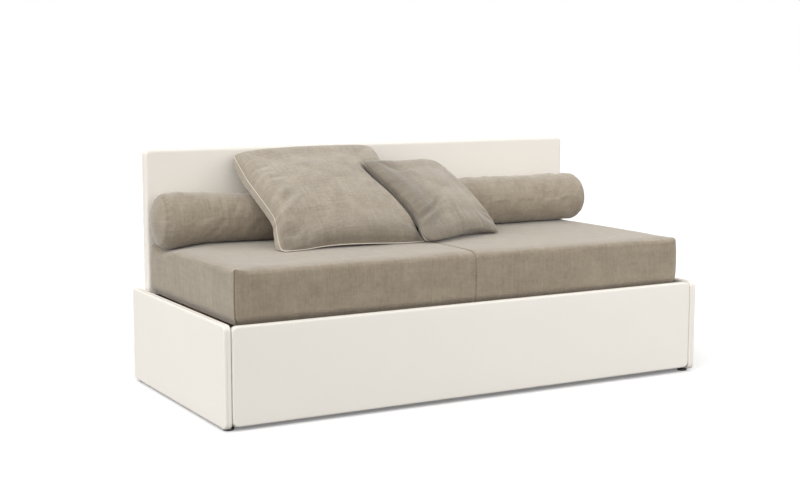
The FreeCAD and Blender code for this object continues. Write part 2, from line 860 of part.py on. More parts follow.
def mattress_form(half, front, rear, low, high, seam_depth):
    """A mattress with rounded ends and, where it is sewn, a shallow channel across its middle."""
    edge = value("mattress_edge")
    crown = value("mattress_crown")
    bulge = value("mattress_bulge")
    stations = []
    for step in range(END_STEPS + 1):
        turn = math.radians(90 * step / END_STEPS)
        stations.append((half - edge * (1 - math.cos(turn)), edge * (1 - math.sin(turn))))
    if seam_depth:
        stations.append((value("seam_reach"), 0))
    stations = [(-x, inset) for x, inset in stations] + [(0, seam_depth)] + stations[::-1]
    wires = [mattress_section(x, front, rear, low, high, inset, edge, crown, bulge) for x, inset in stations]
    return Part.makeLoft(wires, True, True)


def mattresses():
    main = mattress_form(value("mattress_half"), value("mattress_front_y"), value("mattress_rear_y"),
                         value("mattress_bottom"), value("mattress_top"), value("seam_depth"))
    second = mattress_form(value("trundle_half") + value("trundle_mattress_inset"),
                           value("front_inner_y") + value("trundle_mattress_gap"), value("trundle_rear_y"),
                           value("trundle_mattress_bottom"), value("trundle_mattress_top"), 0)
    return [soft_feature("mattress", main), soft_feature("second_mattress", second)]


def bolster(label, sign):
    """A round bolster with softly rounded ends."""
    body = new_body(label)
    inner = f"{sign} * bolster_middle_gap / 2"
    outer = f"{sign} * bolster_outer_x"
    sketch = new_sketch(body, "XZ_Plane")
    rectangle(sketch, inner, outer, "0", "bolster_radius")
    revolve(body, sketch, "X_Axis")
    fillet(body, lambda edge: isinstance(edge.Curve, Part.Circle), "bolster_round")
    return put(body, "0", "bolster_y", "bolster_z")


def pillow_contour(corner, side, height):
    """Four shallow arcs between the corners of a square, through the middles of its sides."""
    spots = [Vector(corner, -corner, height), Vector(corner, corner, height),
             Vector(-corner, corner, height), Vector(-corner, -corner, height)]
    middles = [Vector(side, 0, height), Vector(0, side, height),
               Vector(-side, 0, height), Vector(0, -side, height)]
    return Part.Wire([
        Part.Arc(spots[number], middles[number], spots[(number + 1) % 4]).toShape()
        for number in range(4)
    ])


# How a cushion's contours close in from its seam to its crown, as shares of the seam's own outline
CONTOURS = 5
CORNER_START = 0.94
CORNER_END = 0.2
SIDE_START = 0.99
SIDE_END = 0.37
SIDE_FULLNESS = 1.35


def pillow_half(size, draw_in, edge, crown):
    """From the drawn-in seam up to the crown: corners thin out sooner than the sides do."""
    corner = size / 2
    side = size / 2 - draw_in
    wires = [pillow_contour(corner, side, 0)]
    for step in range(CONTOURS):
        rise = step / (CONTOURS - 1)
        height = edge + (crown - edge) * math.sin(math.radians(90 * rise))
        corner_share = CORNER_START + (CORNER_END - CORNER_START) * rise
        side_share = SIDE_START + (SIDE_END - SIDE_START) * rise ** SIDE_FULLNESS
        wires.append(pillow_contour(corner * corner_share, side * side_share, height))
    return Part.makeLoft(wires, True, True)


def pillow(size, draw_in, front_crown, back_crown):
    edge = value("cushion_edge")
    front = pillow_half(size, draw_in, edge, front_crown)
    back = pillow_half(size, draw_in, edge, back_crown).mirror(Vector(0, 0, 0), Vector(0, 0, 1))
    return front.fuse(back).removeSplitter().Solids[0]


def cushion(label, form, centre, lean, turn):
    """A square cushion, leant back and then turned about the upright."""
    piece = soft_feature(label, form)
    turned = Rotation(Vector(0, 0, 1), turn).multiply(Rotation(Vector(1, 0, 0), lean))
    piece.Placement = Placement(centre, turned)
    return piece


def large_cushion():
    """Leans on the bolsters with its lower edge on the mattress."""
    size = value("large_size")
    back = value("large_back_crown")
    lean = math.radians(value("large_lean_deg"))
    stand_off = value("bolster_radius") + back + value("cushion_clearance")
    floor = value("mattress_top") + value("cushion_clearance")
    slide = size / 2 + (floor - value("bolster_z") - stand_off * math.cos(lean)) / math.sin(lean)
    y = value("bolster_y") - stand_off * math.sin(lean) + slide * math.cos(lean)
    z = value("bolster_z") + stand_off * math.cos(lean) + slide * math.sin(lean)
    form = pillow(size, value("large_draw_in"), value("large_front_crown"), back)
    return cushion("large_cushion", form, Vector(value("large_x"), y, z), value("large_lean_deg"), 0)


def small_cushion():
    """Stands turned to the right, with its left part in front of the large cushion."""
    size = value("small_size")
    form = pillow(size, value("small_draw_in"), value("small_front_crown"), value("small_back_crown"))
    rise = math.sin(math.radians(value("small_lean_deg"))) * size / 2
    z = value("mattress_top") + value("cushion_clearance") + rise
    centre = Vector(value("small_x"), value("small_y"), z)
    return cushion("small_cushion", form, centre, value("small_lean_deg"), value("small_turn_deg"))


def loose_pieces():
    return [bolster("left_bolster", -1), bolster("right_bolster", 1), large_cushion(), small_cushion()]


# Build, check and write


def build():
    pieces = end_panels() + front_panel() + back_panel() + feet()
    pieces += main_frame() + frame_brackets() + corner_angles()
    pieces += trundle_frame() + front_brackets()
    pieces += castors()
    pieces += mattresses() + loose_pieces()
    doc.recompute()
    return pieces


def check(pieces):
    for thing in doc.Objects:
        if "Invalid" in thing.State or "Error" in thing.State:
            raise RuntimeError(f"{thing.Name} failed: {thing.State}")
    for piece in pieces:
        if piece.Shape.isNull() or not piece.Shape.isValid() or not piece.Shape.Solids:
            raise RuntimeError(f"{piece.Label} has no valid solid")


def write(pieces):
    os.makedirs("parts", exist_ok=True)
    for piece in pieces:
        piece.Shape.exportStep(f"parts/{piece.Label}.step")


nodes = build()
check(nodes)
write(nodes)
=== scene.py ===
import json
import math

import bmesh
import bpy
import numpy as np
from bpy.props import FloatProperty, FloatVectorProperty, IntProperty, PointerProperty
from mathutils import Matrix, Vector, noise
from mathutils.bvhtree import BVHTree

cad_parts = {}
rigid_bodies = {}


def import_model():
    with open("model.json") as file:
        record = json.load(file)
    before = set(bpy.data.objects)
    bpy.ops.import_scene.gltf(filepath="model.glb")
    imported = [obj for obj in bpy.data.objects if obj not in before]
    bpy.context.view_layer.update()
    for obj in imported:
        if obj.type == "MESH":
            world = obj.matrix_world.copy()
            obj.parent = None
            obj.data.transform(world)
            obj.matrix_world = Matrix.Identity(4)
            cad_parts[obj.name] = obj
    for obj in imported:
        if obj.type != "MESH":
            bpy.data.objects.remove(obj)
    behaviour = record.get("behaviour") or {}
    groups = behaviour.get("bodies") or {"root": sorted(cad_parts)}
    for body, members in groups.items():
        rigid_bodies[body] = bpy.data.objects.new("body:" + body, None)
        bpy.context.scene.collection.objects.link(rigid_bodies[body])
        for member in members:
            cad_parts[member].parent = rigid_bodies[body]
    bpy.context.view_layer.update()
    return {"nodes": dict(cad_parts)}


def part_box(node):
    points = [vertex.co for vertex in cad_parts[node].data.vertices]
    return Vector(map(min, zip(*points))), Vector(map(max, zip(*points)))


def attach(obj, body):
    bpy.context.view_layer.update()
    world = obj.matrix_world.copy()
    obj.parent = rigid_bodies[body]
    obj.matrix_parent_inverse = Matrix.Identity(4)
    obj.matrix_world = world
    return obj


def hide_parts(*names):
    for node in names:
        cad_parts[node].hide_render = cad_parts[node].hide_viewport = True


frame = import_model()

bl_info = {
    "name": "Sofa bed",
    "version": (1, 0, 0),
    "blender": (4, 5, 0),
    "location": "View3D > Sidebar > Sofa bed",
    "description": "Upholstery, cushions, finishes and stage of a sofa bed with a pull-out second bed",
    "category": "Object",
}


def length(name, description, default):
    return FloatProperty(name=name, description=description, default=default, min=0, unit="LENGTH")


def angle(name, description, degrees):
    return FloatProperty(name=name, description=description, default=math.radians(degrees), unit="ROTATION")


def place(name, description, default):
    return FloatVectorProperty(name=name, description=description, default=default, subtype="TRANSLATION")


def colour(name, description, default):
    return FloatVectorProperty(name=name, description=description, default=default, size=4, min=0, max=1,
                               subtype="COLOR")


def amount(name, description, default):
    return FloatProperty(name=name, description=description, default=default, min=0)


class SofaForm(bpy.types.PropertyGroup):
    """Sizes of the upholstered pieces."""
    panel_corner: length("Panel corner", "Radius of the end and front panels' corners", 0.022)
    panel_roll: length("Panel roll", "Radius of the padded edge of the end and front panels", 0.006)
    panel_wall: length("Panel padding", "Thickness of the cover over a panel's board", 0.0045)
    panel_crown: length("Panel crown", "How far the padding swells in the middle of a panel", 0.0015)
    front_sag: length("Front sag", "How much lower the front panel's left end hangs than its middle", 0.003)
    back_corner: length("Back corner", "Radius of the back panel's corners", 0.020)
    back_roll: length("Back roll", "Radius of the padded edge of the back panel", 0.010)
    back_wall: length("Back padding", "Thickness of the cover over the back panel's board", 0.012)
    slit_width: length("Cover opening", "Width of the opening along a cover's lower edge", 0.014)
    mattress_edge: length("Mattress edge", "Radius of the mattress's long edges", 0.020)
    mattress_upright: length("Mattress corner", "Radius of the mattress's sewn upright corners", 0.012)
    mattress_slack: length("Slack corner", "Radius of the mattress's upright corners on the right", 0.042)
    mattress_tuck: length("Mattress tuck", "How far the mattress's sides draw in above the panels", 0.008)
    mattress_bulge: length("Mattress bulge", "How far the mattress's sides swell", 0.004)
    mattress_crown: length("Mattress crown", "How far the mattress's top rises in the middle", 0.003)
    mattress_ear: length("Mattress ear", "Height of the sewn points at the mattress's top corners", 0.012)
    mattress_roll: length("Mattress roll", "How far the mattress's top drops at its edges", 0.011)
    seam_depth: length("Seam depth", "Depth of the seam across the mattress", 0.005)
    bolster_round: length("Bolster round", "Radius of the bolsters' ends", 0.052)
    bolster_dome: length("Bolster dome", "How far the bolsters' ends swell", 0.012)
    bolster_stretch: length("Bolster stretch", "How far the filling pushes the bolsters' ends out", 0.007)
    bolster_sink: length("Bolster sink", "How far the left bolster's end presses into the mattress", 0.022)
    bolster_squeeze: length("Bolster squeeze", "How far the large cushion flattens the left bolster", 0.020)
    piping: length("Piping", "Radius of the cushions' piping", 0.0021)
    large_size: length("Large cushion", "Side of the large cushion", 0.604)
    large_crown: length("Large crown", "Rise of the large cushion's front over its seam", 0.106)
    large_back: length("Large back", "Depth of the large cushion behind its seam", 0.062)
    large_lean: angle("Large lean", "Slope of the large cushion", 33)
    large_centre: place("Large place", "Middle of the large cushion's seam", (-0.332, 0.141, 0.7317))
    small_size: length("Small cushion", "Side of the small cushion", 0.440)
    small_crown: length("Small crown", "Rise of the small cushion's front over its seam", 0.080)
    small_back: length("Small back", "Depth of the small cushion behind its seam", 0.034)
    small_lean: angle("Small lean", "Slope of the small cushion", 38.6)
    small_turn: angle("Small turn", "How far the small cushion is turned to the right", 22.4)
    small_centre: place("Small place", "Middle of the small cushion's seam", (0.124, 0.095, 0.7045))
    cells: IntProperty(name="Cloth cells", description="Cells along one side of a cushion", default=84, min=8)
    frames: IntProperty(name="Cloth frames", description="Frames that a cushion is inflated for",
                        default=18, min=1)


class SofaFinish(bpy.types.PropertyGroup):
    """Colours of the finishes."""
    cream: colour("Cream", "Cover of the panels", (0.900, 0.860, 0.795, 1))
    cream_shade: colour("Cream shade", "Darker fibres of the panels' cover", (0.850, 0.803, 0.730, 1))
    taupe: colour("Taupe", "Light yarn of the mattress", (0.368, 0.307, 0.231, 1))
    taupe_shade: colour("Taupe shade", "Dark yarn of the mattress", (0.238, 0.193, 0.139, 1))
    bolster: colour("Bolster", "Light yarn of the bolsters", (0.405, 0.345, 0.268, 1))
    bolster_shade: colour("Bolster shade", "Dark yarn of the bolsters", (0.265, 0.219, 0.163, 1))
    cushion: colour("Cushion", "Light yarn of the cushions", (0.462, 0.400, 0.320, 1))
    cushion_shade: colour("Cushion shade", "Dark yarn of the cushions", (0.262, 0.219, 0.165, 1))
    piping: colour("Piping", "Cushion piping", (0.740, 0.690, 0.600, 1))
    ticking: colour("Ticking", "Second mattress", (0.780, 0.755, 0.700, 1))
    ticking_stripe: colour("Ticking stripe", "Stripe of the second mattress", (0.560, 0.545, 0.510, 1))
    steel: colour("Steel", "Painted tubes", (0.060, 0.060, 0.064, 1))
    zinc: colour("Zinc", "Plated steel", (0.560, 0.560, 0.575, 1))
    beech: colour("Beech", "Stained slats", (0.200, 0.125, 0.070, 1))
    beech_grain: colour("Beech grain", "Grain of the slats", (0.130, 0.080, 0.045, 1))
    board: colour("Board", "Panel boards", (0.520, 0.370, 0.220, 1))
    plastic: colour("Plastic", "Feet, wheels and slat holders", (0.018, 0.018, 0.019, 1))


class SofaStage(bpy.types.PropertyGroup):
    """Camera, light and floor."""
    camera_place: place("Camera", "Where the camera stands", (-2.879, -5.050, 1.288))
    camera_yaw: angle("Camera yaw", "Turn of the camera from straight ahead to the right", 28.96)
    camera_pitch: angle("Camera pitch", "Downward tilt of the camera", 7.56)
    lens: FloatProperty(name="Lens", description="Focal length", default=65.34, min=1, unit="CAMERA")
    sky: amount("Sky", "Strength of the even light from all round", 0.62)
    key: amount("Key lamp", "Strength of the soft lamp from the left", 1.80)
    key_from: place("Key from", "Direction that the soft lamp on the left shines from", (-0.84, -0.10, 0.54))
    fill: amount("Fill lamp", "Strength of the soft lamp from the front", 0.77)
    fill_from: place("Fill from", "Direction that the soft lamp in front shines from", (-0.20, -0.80, 0.55))
    softness: angle("Lamp softness", "Angle that each soft lamp fills", 80)
    panel: amount("Light panel", "Power of the large light panel on the right", 37)
    panel_place: place("Panel place", "Middle of the light panel on the right", (2.6, -3.2, 2.2))
    panel_side: length("Panel side", "Side of the light panel on the right", 2.4)
    floor: colour("Floor", "Floor as the camera sees it", (0.90, 0.90, 0.90, 1))
    floor_bounce: colour("Floor bounce", "Floor as it lights the sofa bed", (0.26, 0.26, 0.26, 1))
    floor_glow: amount("Floor glow", "White that the floor shows to the camera besides its own colour", 0.16)


# Finishes


# Middle value of the noise texture
NOISE_LEVEL = 0.5


class Term:
    """One output of a shader node, usable in Python arithmetic."""

    def __init__(self, shader, socket):
        self.shader = shader
        self.socket = socket

    def math(self, operation, first, second):
        return self.shader.node("ShaderNodeMath", {"operation": operation}, {0: first, 1: second})

    def __add__(self, other):
        return self.math("ADD", self, other)

    def __radd__(self, other):
        return self.math("ADD", other, self)

    def __sub__(self, other):
        return self.math("SUBTRACT", self, other)

    def __rsub__(self, other):
        return self.math("SUBTRACT", other, self)

    def __mul__(self, other):
        return self.math("MULTIPLY", self, other)

    def __rmul__(self, other):
        return self.math("MULTIPLY", other, self)

    def highest(self, other):
        return self.math("MAXIMUM", self, other)

    def sine(self):
        return self.math("SINE", self, 0)

    def within(self):
        return self.shader.node("ShaderNodeClamp", {}, {"Value": self})


class Shader:
    """A node tree that is written as expressions."""

    def __init__(self, tree):
        self.tree = tree
        tree.nodes.clear()

    def node(self, kind, settings, inputs, output=0):
        """A new node, with its settings made first and its inputs given as values or links."""
        made = self.tree.nodes.new(kind)
        for name, setting in settings.items():
            setattr(made, name, setting)
        for name, given in inputs.items():
            if isinstance(given, Term):
                self.tree.links.new(given.socket, made.inputs[name])
            else:
                made.inputs[name].default_value = given
        return Term(self, made.outputs[output]) if made.outputs else None

    def mix(self, share, first, second):
        return self.node("ShaderNodeMix", {"data_type": "RGBA"}, {0: share, 6: first, 7: second}, 2)

    def noise(self, vector, fineness, detail=2.0, roughness=0.55):
        """Noise with its own fineness along each axis, or with one fineness along all three."""
        factors = [fineness] * 3 if isinstance(fineness, int) else fineness
        fine = self.node("ShaderNodeVectorMath", {"operation": "MULTIPLY"}, {0: vector, 1: factors})
        return self.node("ShaderNodeTexNoise", {}, {"Vector": fine, "Scale": 1.0, "Detail": detail,
                                                    "Roughness": roughness})

    def yarn(self, vector, axis, spacing, run):
        """Streaks that lie side by side along one axis and run along the other two."""
        factors = [1 / run] * 3
        factors[axis] = 1 / spacing
        return self.noise(vector, factors)

    def yarns(self, vector, spacing, run):
        """Like yarns along all three axes, with zero as their middle value."""
        return sum(self.yarn(vector, axis, spacing, run) for axis in range(3)) - 3 * NOISE_LEVEL

    def cells(self, vector, fineness):
        return self.node("ShaderNodeTexVoronoi", {}, {"Vector": vector, "Scale": fineness}, "Distance")

    def bump(self, height, distance, strength):
        return self.node("ShaderNodeBump", {}, {"Height": height, "Distance": distance, "Strength": strength})

    def objects(self):
        return self.node("ShaderNodeTexCoord", {}, {}, "Object")

    def cloth(self):
        return self.node("ShaderNodeUVMap", {"uv_map": "weave"}, {}, "UV")

    def attribute(self, name):
        return self.node("ShaderNodeAttribute", {"attribute_name": name}, {}, "Fac")


def finish(name, paint):
    """A material whose surface the paint function describes as the inputs of one shader."""
    if name in bpy.data.materials:
        return bpy.data.materials[name]
    material = bpy.data.materials.new(name)
    material.use_nodes = True
    shader = Shader(material.node_tree)
    surface = shader.node("ShaderNodeBsdfPrincipled", {}, paint(shader))
    shader.node("ShaderNodeOutputMaterial", {}, {"Surface": surface})
    return material


def tinted(tone, *shares):
    """A colour with its red, green and blue each times a share."""
    return (*(part * share for part, share in zip(tone, shares)), 1)


def slub_weave(name, light, dark, on_cloth=False):
    """A linen-like weave with uneven yarns in both directions, darker along seams and with painted shade
    where the sewn attribute asks for it.
    """
    def paint(shader):
        where = shader.cloth() if on_cloth else shader.objects()
        third = 0.4
        slubs = shader.yarn(where, axis=0, spacing=0.0072, run=0.20) \
            + shader.yarn(where, axis=1, spacing=0.0060, run=0.16) \
            + shader.yarn(where, axis=2, spacing=0.0056, run=0.16) * third - (2 + third) * NOISE_LEVEL
        bars = shader.yarns(where, spacing=0.022, run=0.35)
        yarns = shader.yarns(where, spacing=0.0024, run=0.045)
        patches = shader.noise(where, 13, detail=4.0) - NOISE_LEVEL
        mottle = shader.noise(where, (75, 110 if on_cloth else 10, 75)) - NOISE_LEVEL
        tone = (0.5 + slubs * 0.5 + yarns * 0.45 + bars * 0.25 + patches * 0.8 + mottle * 0.75).within()
        # The sewn attribute holds darker seams and painted shade: in the gap above the panels, low on the
        # cushions' fronts and on the small cushion's left side.
        sewn = shader.attribute("sewn")
        shade = shader.mix(tone, dark, light)
        shade = shader.mix(sewn * 0.85, shade, tinted(dark, 0.25, 0.25, 0.25))
        relief = yarns * 0.5 + slubs * 0.8 + bars * 0.5 + mottle * 0.6
        return {
            "Base Color": shade,
            "Roughness": (0.86 + yarns * 0.08).within(),
            "Specular IOR Level": 0.15,
            "Sheen Weight": 0.54,
            "Sheen Roughness": 0.5,
            "Sheen Tint": (1.0, 0.97, 0.92, 1),
            "Normal": shader.bump(relief, distance=0.0022, strength=0.8),
        }
    return finish(name, paint)


def smooth_cover(name, light, dark):
    """A fine, tightly woven cover with a faint mottle."""
    def paint(shader):
        where = shader.objects()
        threads = shader.yarns(where, spacing=0.0008, run=0.006)
        mottle = shader.noise(where, 5, detail=3.0) - NOISE_LEVEL
        folds = shader.noise(where, (2.2, 2.2, 5), detail=1.0) - NOISE_LEVEL
        tone = (0.62 + threads * 0.10 + mottle * 0.45).within()
        return {
            "Base Color": shader.mix(tone, dark, light),
            "Roughness": (0.66 + threads * 0.10).within(),
            "Specular IOR Level": 0.25,
            "Sheen Weight": 0.08,
            "Sheen Roughness": 0.5,
            "Normal": shader.bump(threads * 0.02 + folds, distance=0.0030, strength=0.5),
        }
    return finish(name, paint)


def twisted_cord(name, tone):
    """A pale cord with fine fibres."""
    def paint(shader):
        fibres = shader.noise(shader.objects(), 700)
        return {
            "Base Color": shader.mix(fibres, tinted(tone, 0.82, 0.80, 0.76), tone),
            "Roughness": 0.75,
            "Sheen Weight": 0.15,
            "Normal": shader.bump(fibres, distance=0.0006, strength=0.6),
        }
    return finish(name, paint)


def striped_ticking(name, tone, stripe):
    """A tight mattress cloth with narrow stripes across its length."""
    def paint(shader):
        where = shader.objects()
        stripe_spacing = 0.045
        along = shader.node("ShaderNodeSeparateXYZ", {}, {"Vector": where}, "X")
        band = ((along * (2 * math.pi / stripe_spacing)).sine() * 6 - 4.6).within()
        threads = shader.yarns(where, spacing=0.0010, run=0.010)
        ground = shader.mix((0.5 + threads * 0.8).within(), tinted(tone, 0.9, 0.89, 0.87), tone)
        return {
            "Base Color": shader.mix(band * 0.75, ground, stripe),
            "Roughness": (0.85 + threads * 0.1).within(),
            "Sheen Weight": 0.12,
            "Normal": shader.bump(threads, distance=0.0006, strength=0.5),
        }
    return finish(name, paint)


def lacquered_beech(name, tone, grain):
    """Stained and lacquered beech whose grain runs along Y."""
    def paint(shader):
        where = shader.objects()
        figure = shader.noise(where, (90, 3.5, 60), detail=4.0, roughness=0.6)
        pores = shader.noise(where, (900, 45, 900))
        return {
            "Base Color": shader.mix((figure * 1.6 - 0.4 + pores * 0.3).within(), grain, tone),
            "Roughness": (0.32 + pores * 0.15).within(),
            "Coat Weight": 0.3,
            "Normal": shader.bump(pores, distance=0.0003, strength=0.4),
        }
    return finish(name, paint)


def pressed_board(name, tone):
    """A board of pressed chips and flakes."""
    def paint(shader):
        where = shader.objects()
        chips = shader.cells(where, 260.0)
        flakes = shader.noise(where, 160, detail=3.0)
        deep = tinted(tone, 0.6, 0.55, 0.5)
        return {
            "Base Color": shader.mix((flakes * 1.3 - 0.2 + chips * 0.4).within(), deep, tone),
            "Roughness": 0.85,
            "Normal": shader.bump(flakes + chips * 0.5, distance=0.0006, strength=0.6),
        }
    return finish(name, paint)


def painted_steel(name, tone):
    """Dark paint with a fine grit, paler where it is rubbed."""
    def paint(shader):
        where = shader.objects()
        grit = shader.noise(where, 1400)
        rub = shader.noise(where, 9, detail=4.0)
        return {
            "Base Color": shader.mix((rub * 1.5 - 0.5).within(), tone, tinted(tone, 1.9, 1.9, 1.9)),
            "Roughness": (0.36 + grit * 0.14 + rub * 0.08).within(),
            "Specular IOR Level": 0.5,
            "Normal": shader.bump(grit, distance=0.0002, strength=0.5),
        }
    return finish(name, paint)


def zinc_plate(name, tone):
    """Zinc plating with a faint spangle."""
    def paint(shader):
        where = shader.objects()
        spangle = shader.cells(where, 140.0)
        rub = shader.noise(where, (60, 60, 400), detail=3.0)
        deep = tinted(tone, 0.72, 0.72, 0.74)
        return {
            "Base Color": shader.mix((spangle * 0.7 + rub * 0.5 - 0.1).within(), deep, tone),
            "Metallic": 0.9,
            "Roughness": (0.30 + rub * 0.22).within(),
            "Normal": shader.bump(rub, distance=0.0002, strength=0.4),
        }
    return finish(name, paint)


def moulded_plastic(name, tone):
    """Black plastic with a fine texture and pale scuffs."""
    def paint(shader):
        where = shader.objects()
        texture = shader.noise(where, 1100)
        scuff = shader.noise(where, 40, detail=4.0)
        return {
            "Base Color": shader.mix((scuff * 1.8 - 0.7).within(), tone, tinted(tone, 2.6, 2.6, 2.6)),
            "Roughness": (0.44 + texture * 0.15).within(),
            "Normal": shader.bump(texture, distance=0.0003, strength=0.5),
        }
    return finish(name, paint)


# Shapes shared by the pieces


# Cosine from which an edge lies along an axis, or a face square to it
PARALLEL = 0.99
# How far each seed moves the noise along X, Y and Z
SEED_STEPS = (7.3, 3.1, 5.7)


def linked(name, data):
    """A new object in the scene."""
    made = bpy.data.objects.new(name, data)
    bpy.context.scene.collection.objects.link(made)
    return made


def add_piece(name, shape, material, body, node):
    """Make a padded piece of a finished bmesh, attach it to the body that it moves with, and hide the node
    that it stands for.
    """
    mesh = bpy.data.meshes.new(name)
    bmesh.ops.recalc_face_normals(shape, faces=shape.faces)
    for face in shape.faces:
        face.smooth = True
    shape.to_mesh(mesh)
    shape.free()
    piece = add_mesh(name, mesh, material, body)
    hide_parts(node)
    return piece


def add_mesh(name, mesh, material, body):
    piece = linked(name, mesh)
    mesh.materials.append(material)
    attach(piece, body)
    return piece


def add_piping(name, loop, radius, material, body):
    """A sewn-in cord along a closed loop of points."""
    curve = bpy.data.curves.new(name, "CURVE")
    curve.dimensions = "3D"
    curve.bevel_depth = radius
    curve.bevel_resolution = 2
    line = curve.splines.new("POLY")
    line.points.add(len(loop) - 1)
    for point, where in zip(line.points, loop):
        point.co = (*where, 1)
    line.use_cyclic_u = True
    maker = linked(name + "_line", curve)
    bpy.context.view_layer.update()
    mesh = bpy.data.meshes.new_from_object(maker.evaluated_get(bpy.context.evaluated_depsgraph_get()))
    bpy.data.objects.remove(maker)
    bpy.data.curves.remove(curve)
    mesh.materials.clear()
    mesh.shade_smooth()
    add_mesh(name, mesh, material, body)


def soften(piece):
    smooth = piece.modifiers.new("Smooth", "SUBSURF")
    smooth.levels = 1
    smooth.render_levels = 1


def block(low, high):
    shape = bmesh.new()
    bmesh.ops.create_cube(shape, size=1)
    bmesh.ops.scale(shape, vec=high - low, verts=shape.verts)
    bmesh.ops.translate(shape, vec=(low + high) / 2, verts=shape.verts)
    return shape


def runs_along(edge, axis):
    first, second = edge.verts
    return abs((first.co - second.co).normalized()[axis]) > PARALLEL


def round_edges(shape, edges, radius, segments):
    bmesh.ops.bevel(shape, geom=edges, offset=radius, offset_type="OFFSET", segments=segments, profile=0.5,
                    affect="EDGES", clamp_overlap=True, material=-1)


def round_rims(shape, axis, radius, segments):
    """Round the edges of the faces that are square to an axis."""
    bmesh.ops.recalc_face_normals(shape, faces=shape.faces)
    rims = {edge for face in shape.faces if abs(face.normal[axis]) > PARALLEL for edge in face.edges}
    round_edges(shape, list(rims), radius, segments)


def slice_up(shape, axis, places):
    """Cut all round the shape at each place along an axis."""
    normal = Vector((0, 0, 0))
    normal[axis] = 1
    for where in places:
        bmesh.ops.bisect_plane(shape, geom=shape.verts[:] + shape.edges[:] + shape.faces[:],
                               plane_co=normal * where, plane_no=normal, dist=1e-6)


def even(start, end, step):
    """Places at about one step from each other between two ends, without the ends."""
    count = max(1, round((end - start) / step))
    return [start + (end - start) * number / count for number in range(1, count)]


def positions(mesh):
    points = np.empty(len(mesh.vertices) * 3)
    mesh.vertices.foreach_get("co", points)
    return points.reshape(-1, 3)


def set_positions(mesh, points):
    mesh.vertices.foreach_set("co", np.ascontiguousarray(points).ravel())
    mesh.update()


def mark_seams_and_painted_shade(mesh, amounts):
    """Keep how much darker the weave is at each point, along seams and as painted shade."""
    layer = mesh.attributes.new("sewn", "FLOAT", "POINT")
    layer.data.foreach_set("value", np.clip(amounts, 0, 1))


def hill(distance, width):
    """One in the middle, and falling off to nothing over about two widths."""
    return np.exp(-(distance / width) ** 2)


def smooth_step(x, start, end):
    """Zero up to a start, one from an end, and a smooth rise between."""
    share = np.clip((x - start) / (end - start), 0, 1)
    return share * share * (3 - 2 * share)


def rough(points, scale, seed):
    """Even, repeatable noise at each point."""
    shift = Vector([seed * step for step in SEED_STEPS])
    return np.array([noise.noise(Vector(point) * scale + shift) for point in points])


# Panels


# Each cover's node, the body that it moves with, and the axis across the panel
PANELS = (
    ("left_end_cover", "base", 0),
    ("right_end_cover", "base", 0),
    ("front_cover", "pull_out_bed", 1),
    ("backrest_cover", "base", 1),
)
# Distances between the cuts along a panel and up it, in metres
PANEL_STEP = 0.06
PANEL_RISE = 0.05
# How far the sewn line round a panel's edge is drawn in, and how far its cuts lie from it, in metres
PANEL_SEAM_DEPTH = 0.001
PANEL_SEAM_CUT = 0.0012


def panel_cover(node, body, across, form, material):
    """A padded cover over a board: rolled edges, a sewn edge line and an opening along its lower edge."""
    tall = node.startswith("backrest")
    corner = form.back_corner if tall else form.panel_corner
    roll = form.back_roll if tall else form.panel_roll
    along = 1 - across
    low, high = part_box(node)
    middle = (low + high) / 2
    half_across = (high[across] - low[across]) / 2
    half_along = (high[along] - low[along]) / 2
    half_up = (high.z - low.z) / 2
    half_slit = form.slit_width / 2
    slit_end = corner + 0.002
    near = roll + 0.006
    underside = low.z + 0.0005

    shape = block(low, high)
    round_edges(shape, [edge for edge in shape.edges if runs_along(edge, across)], corner, 6)
    round_rims(shape, across, roll, 5)
    first, last = low[along], high[along]
    slice_up(shape, along, [first + near, last - near, first + slit_end, last - slit_end]
             + even(first + near, last - near, PANEL_STEP))
    slice_up(shape, 2, [low.z + near, high.z - near] + even(low.z + near, high.z - near, PANEL_RISE))
    slice_up(shape, across, [middle[across] + off
                             for off in (-half_slit, -PANEL_SEAM_CUT, 0, PANEL_SEAM_CUT, half_slit)])
    opening = []
    for face in shape.faces:
        spot = face.calc_center_median()
        if spot.z < underside and abs(spot[across] - middle[across]) < half_slit \
                and abs(spot[along] - middle[along]) < half_along - slit_end:
            opening.append(face)
    bmesh.ops.delete(shape, geom=opening, context="FACES")
    bmesh.ops.recalc_face_normals(shape, faces=shape.faces)

    by_edge = 0.002
    on_seam = 0.0003
    on_face = 0.98
    for vert in shape.verts:
        off = vert.co - middle
        if node.startswith("front"):
            vert.co.z += form.front_sag * off.x / half_along
        if abs(off[across]) / half_across > on_face:
            swell = (1 - (off[along] / half_along) ** 4) * (1 - (off.z / half_up) ** 4)
            vert.co[across] += math.copysign(form.panel_crown * swell, off[across])
        if abs(off[across]) < on_seam and vert.co.z > low.z + by_edge:
            for axis, half in ((2, half_up), (along, half_along)):
                if abs(off[axis]) > half - by_edge:
                    vert.co[axis] -= math.copysign(PANEL_SEAM_DEPTH, off[axis])
    name = node.replace("_cover", "_upholstery")
    piece = add_piece(name, shape, material, body, node)
    padding = piece.modifiers.new("Padding", "SOLIDIFY")
    padding.thickness = form.back_wall if tall else form.panel_wall
    padding.offset = -1


# Mattresses


# Distances of the main mattress's cuts from its ends and from its seam, in metres
MATTRESS_CUTS = (0.026, 0.040, 0.060, 0.085)
SEAM_CUTS = (0.0015, 0.004, 0.008, 0.014, 0.022)
MATTRESS_STEP = 0.04
MATTRESS_RISE = 0.03
# Ripples of its cover: fineness, seed and height in metres
MATTRESS_RIPPLES = ((3.2, 1, 0.0022), (8.0, 2, 0.0009))
# Cuts and sizes of the second mattress, in metres
SECOND_CUTS = (0.030, 0.050)
SECOND_STEP = 0.05
SECOND_EDGE = 0.024
SECOND_CORNER = 0.040
TUFT_SPACING = 0.164
TAPE_RADIUS = 0.004
TAPE_INSET = 0.0035
# Places along X between which the large cushion's weight comes onto the left bolster, and leaves it again
WEIGHT_ON = (-0.95, -0.56)
WEIGHT_OFF = (-0.14, -0.02)


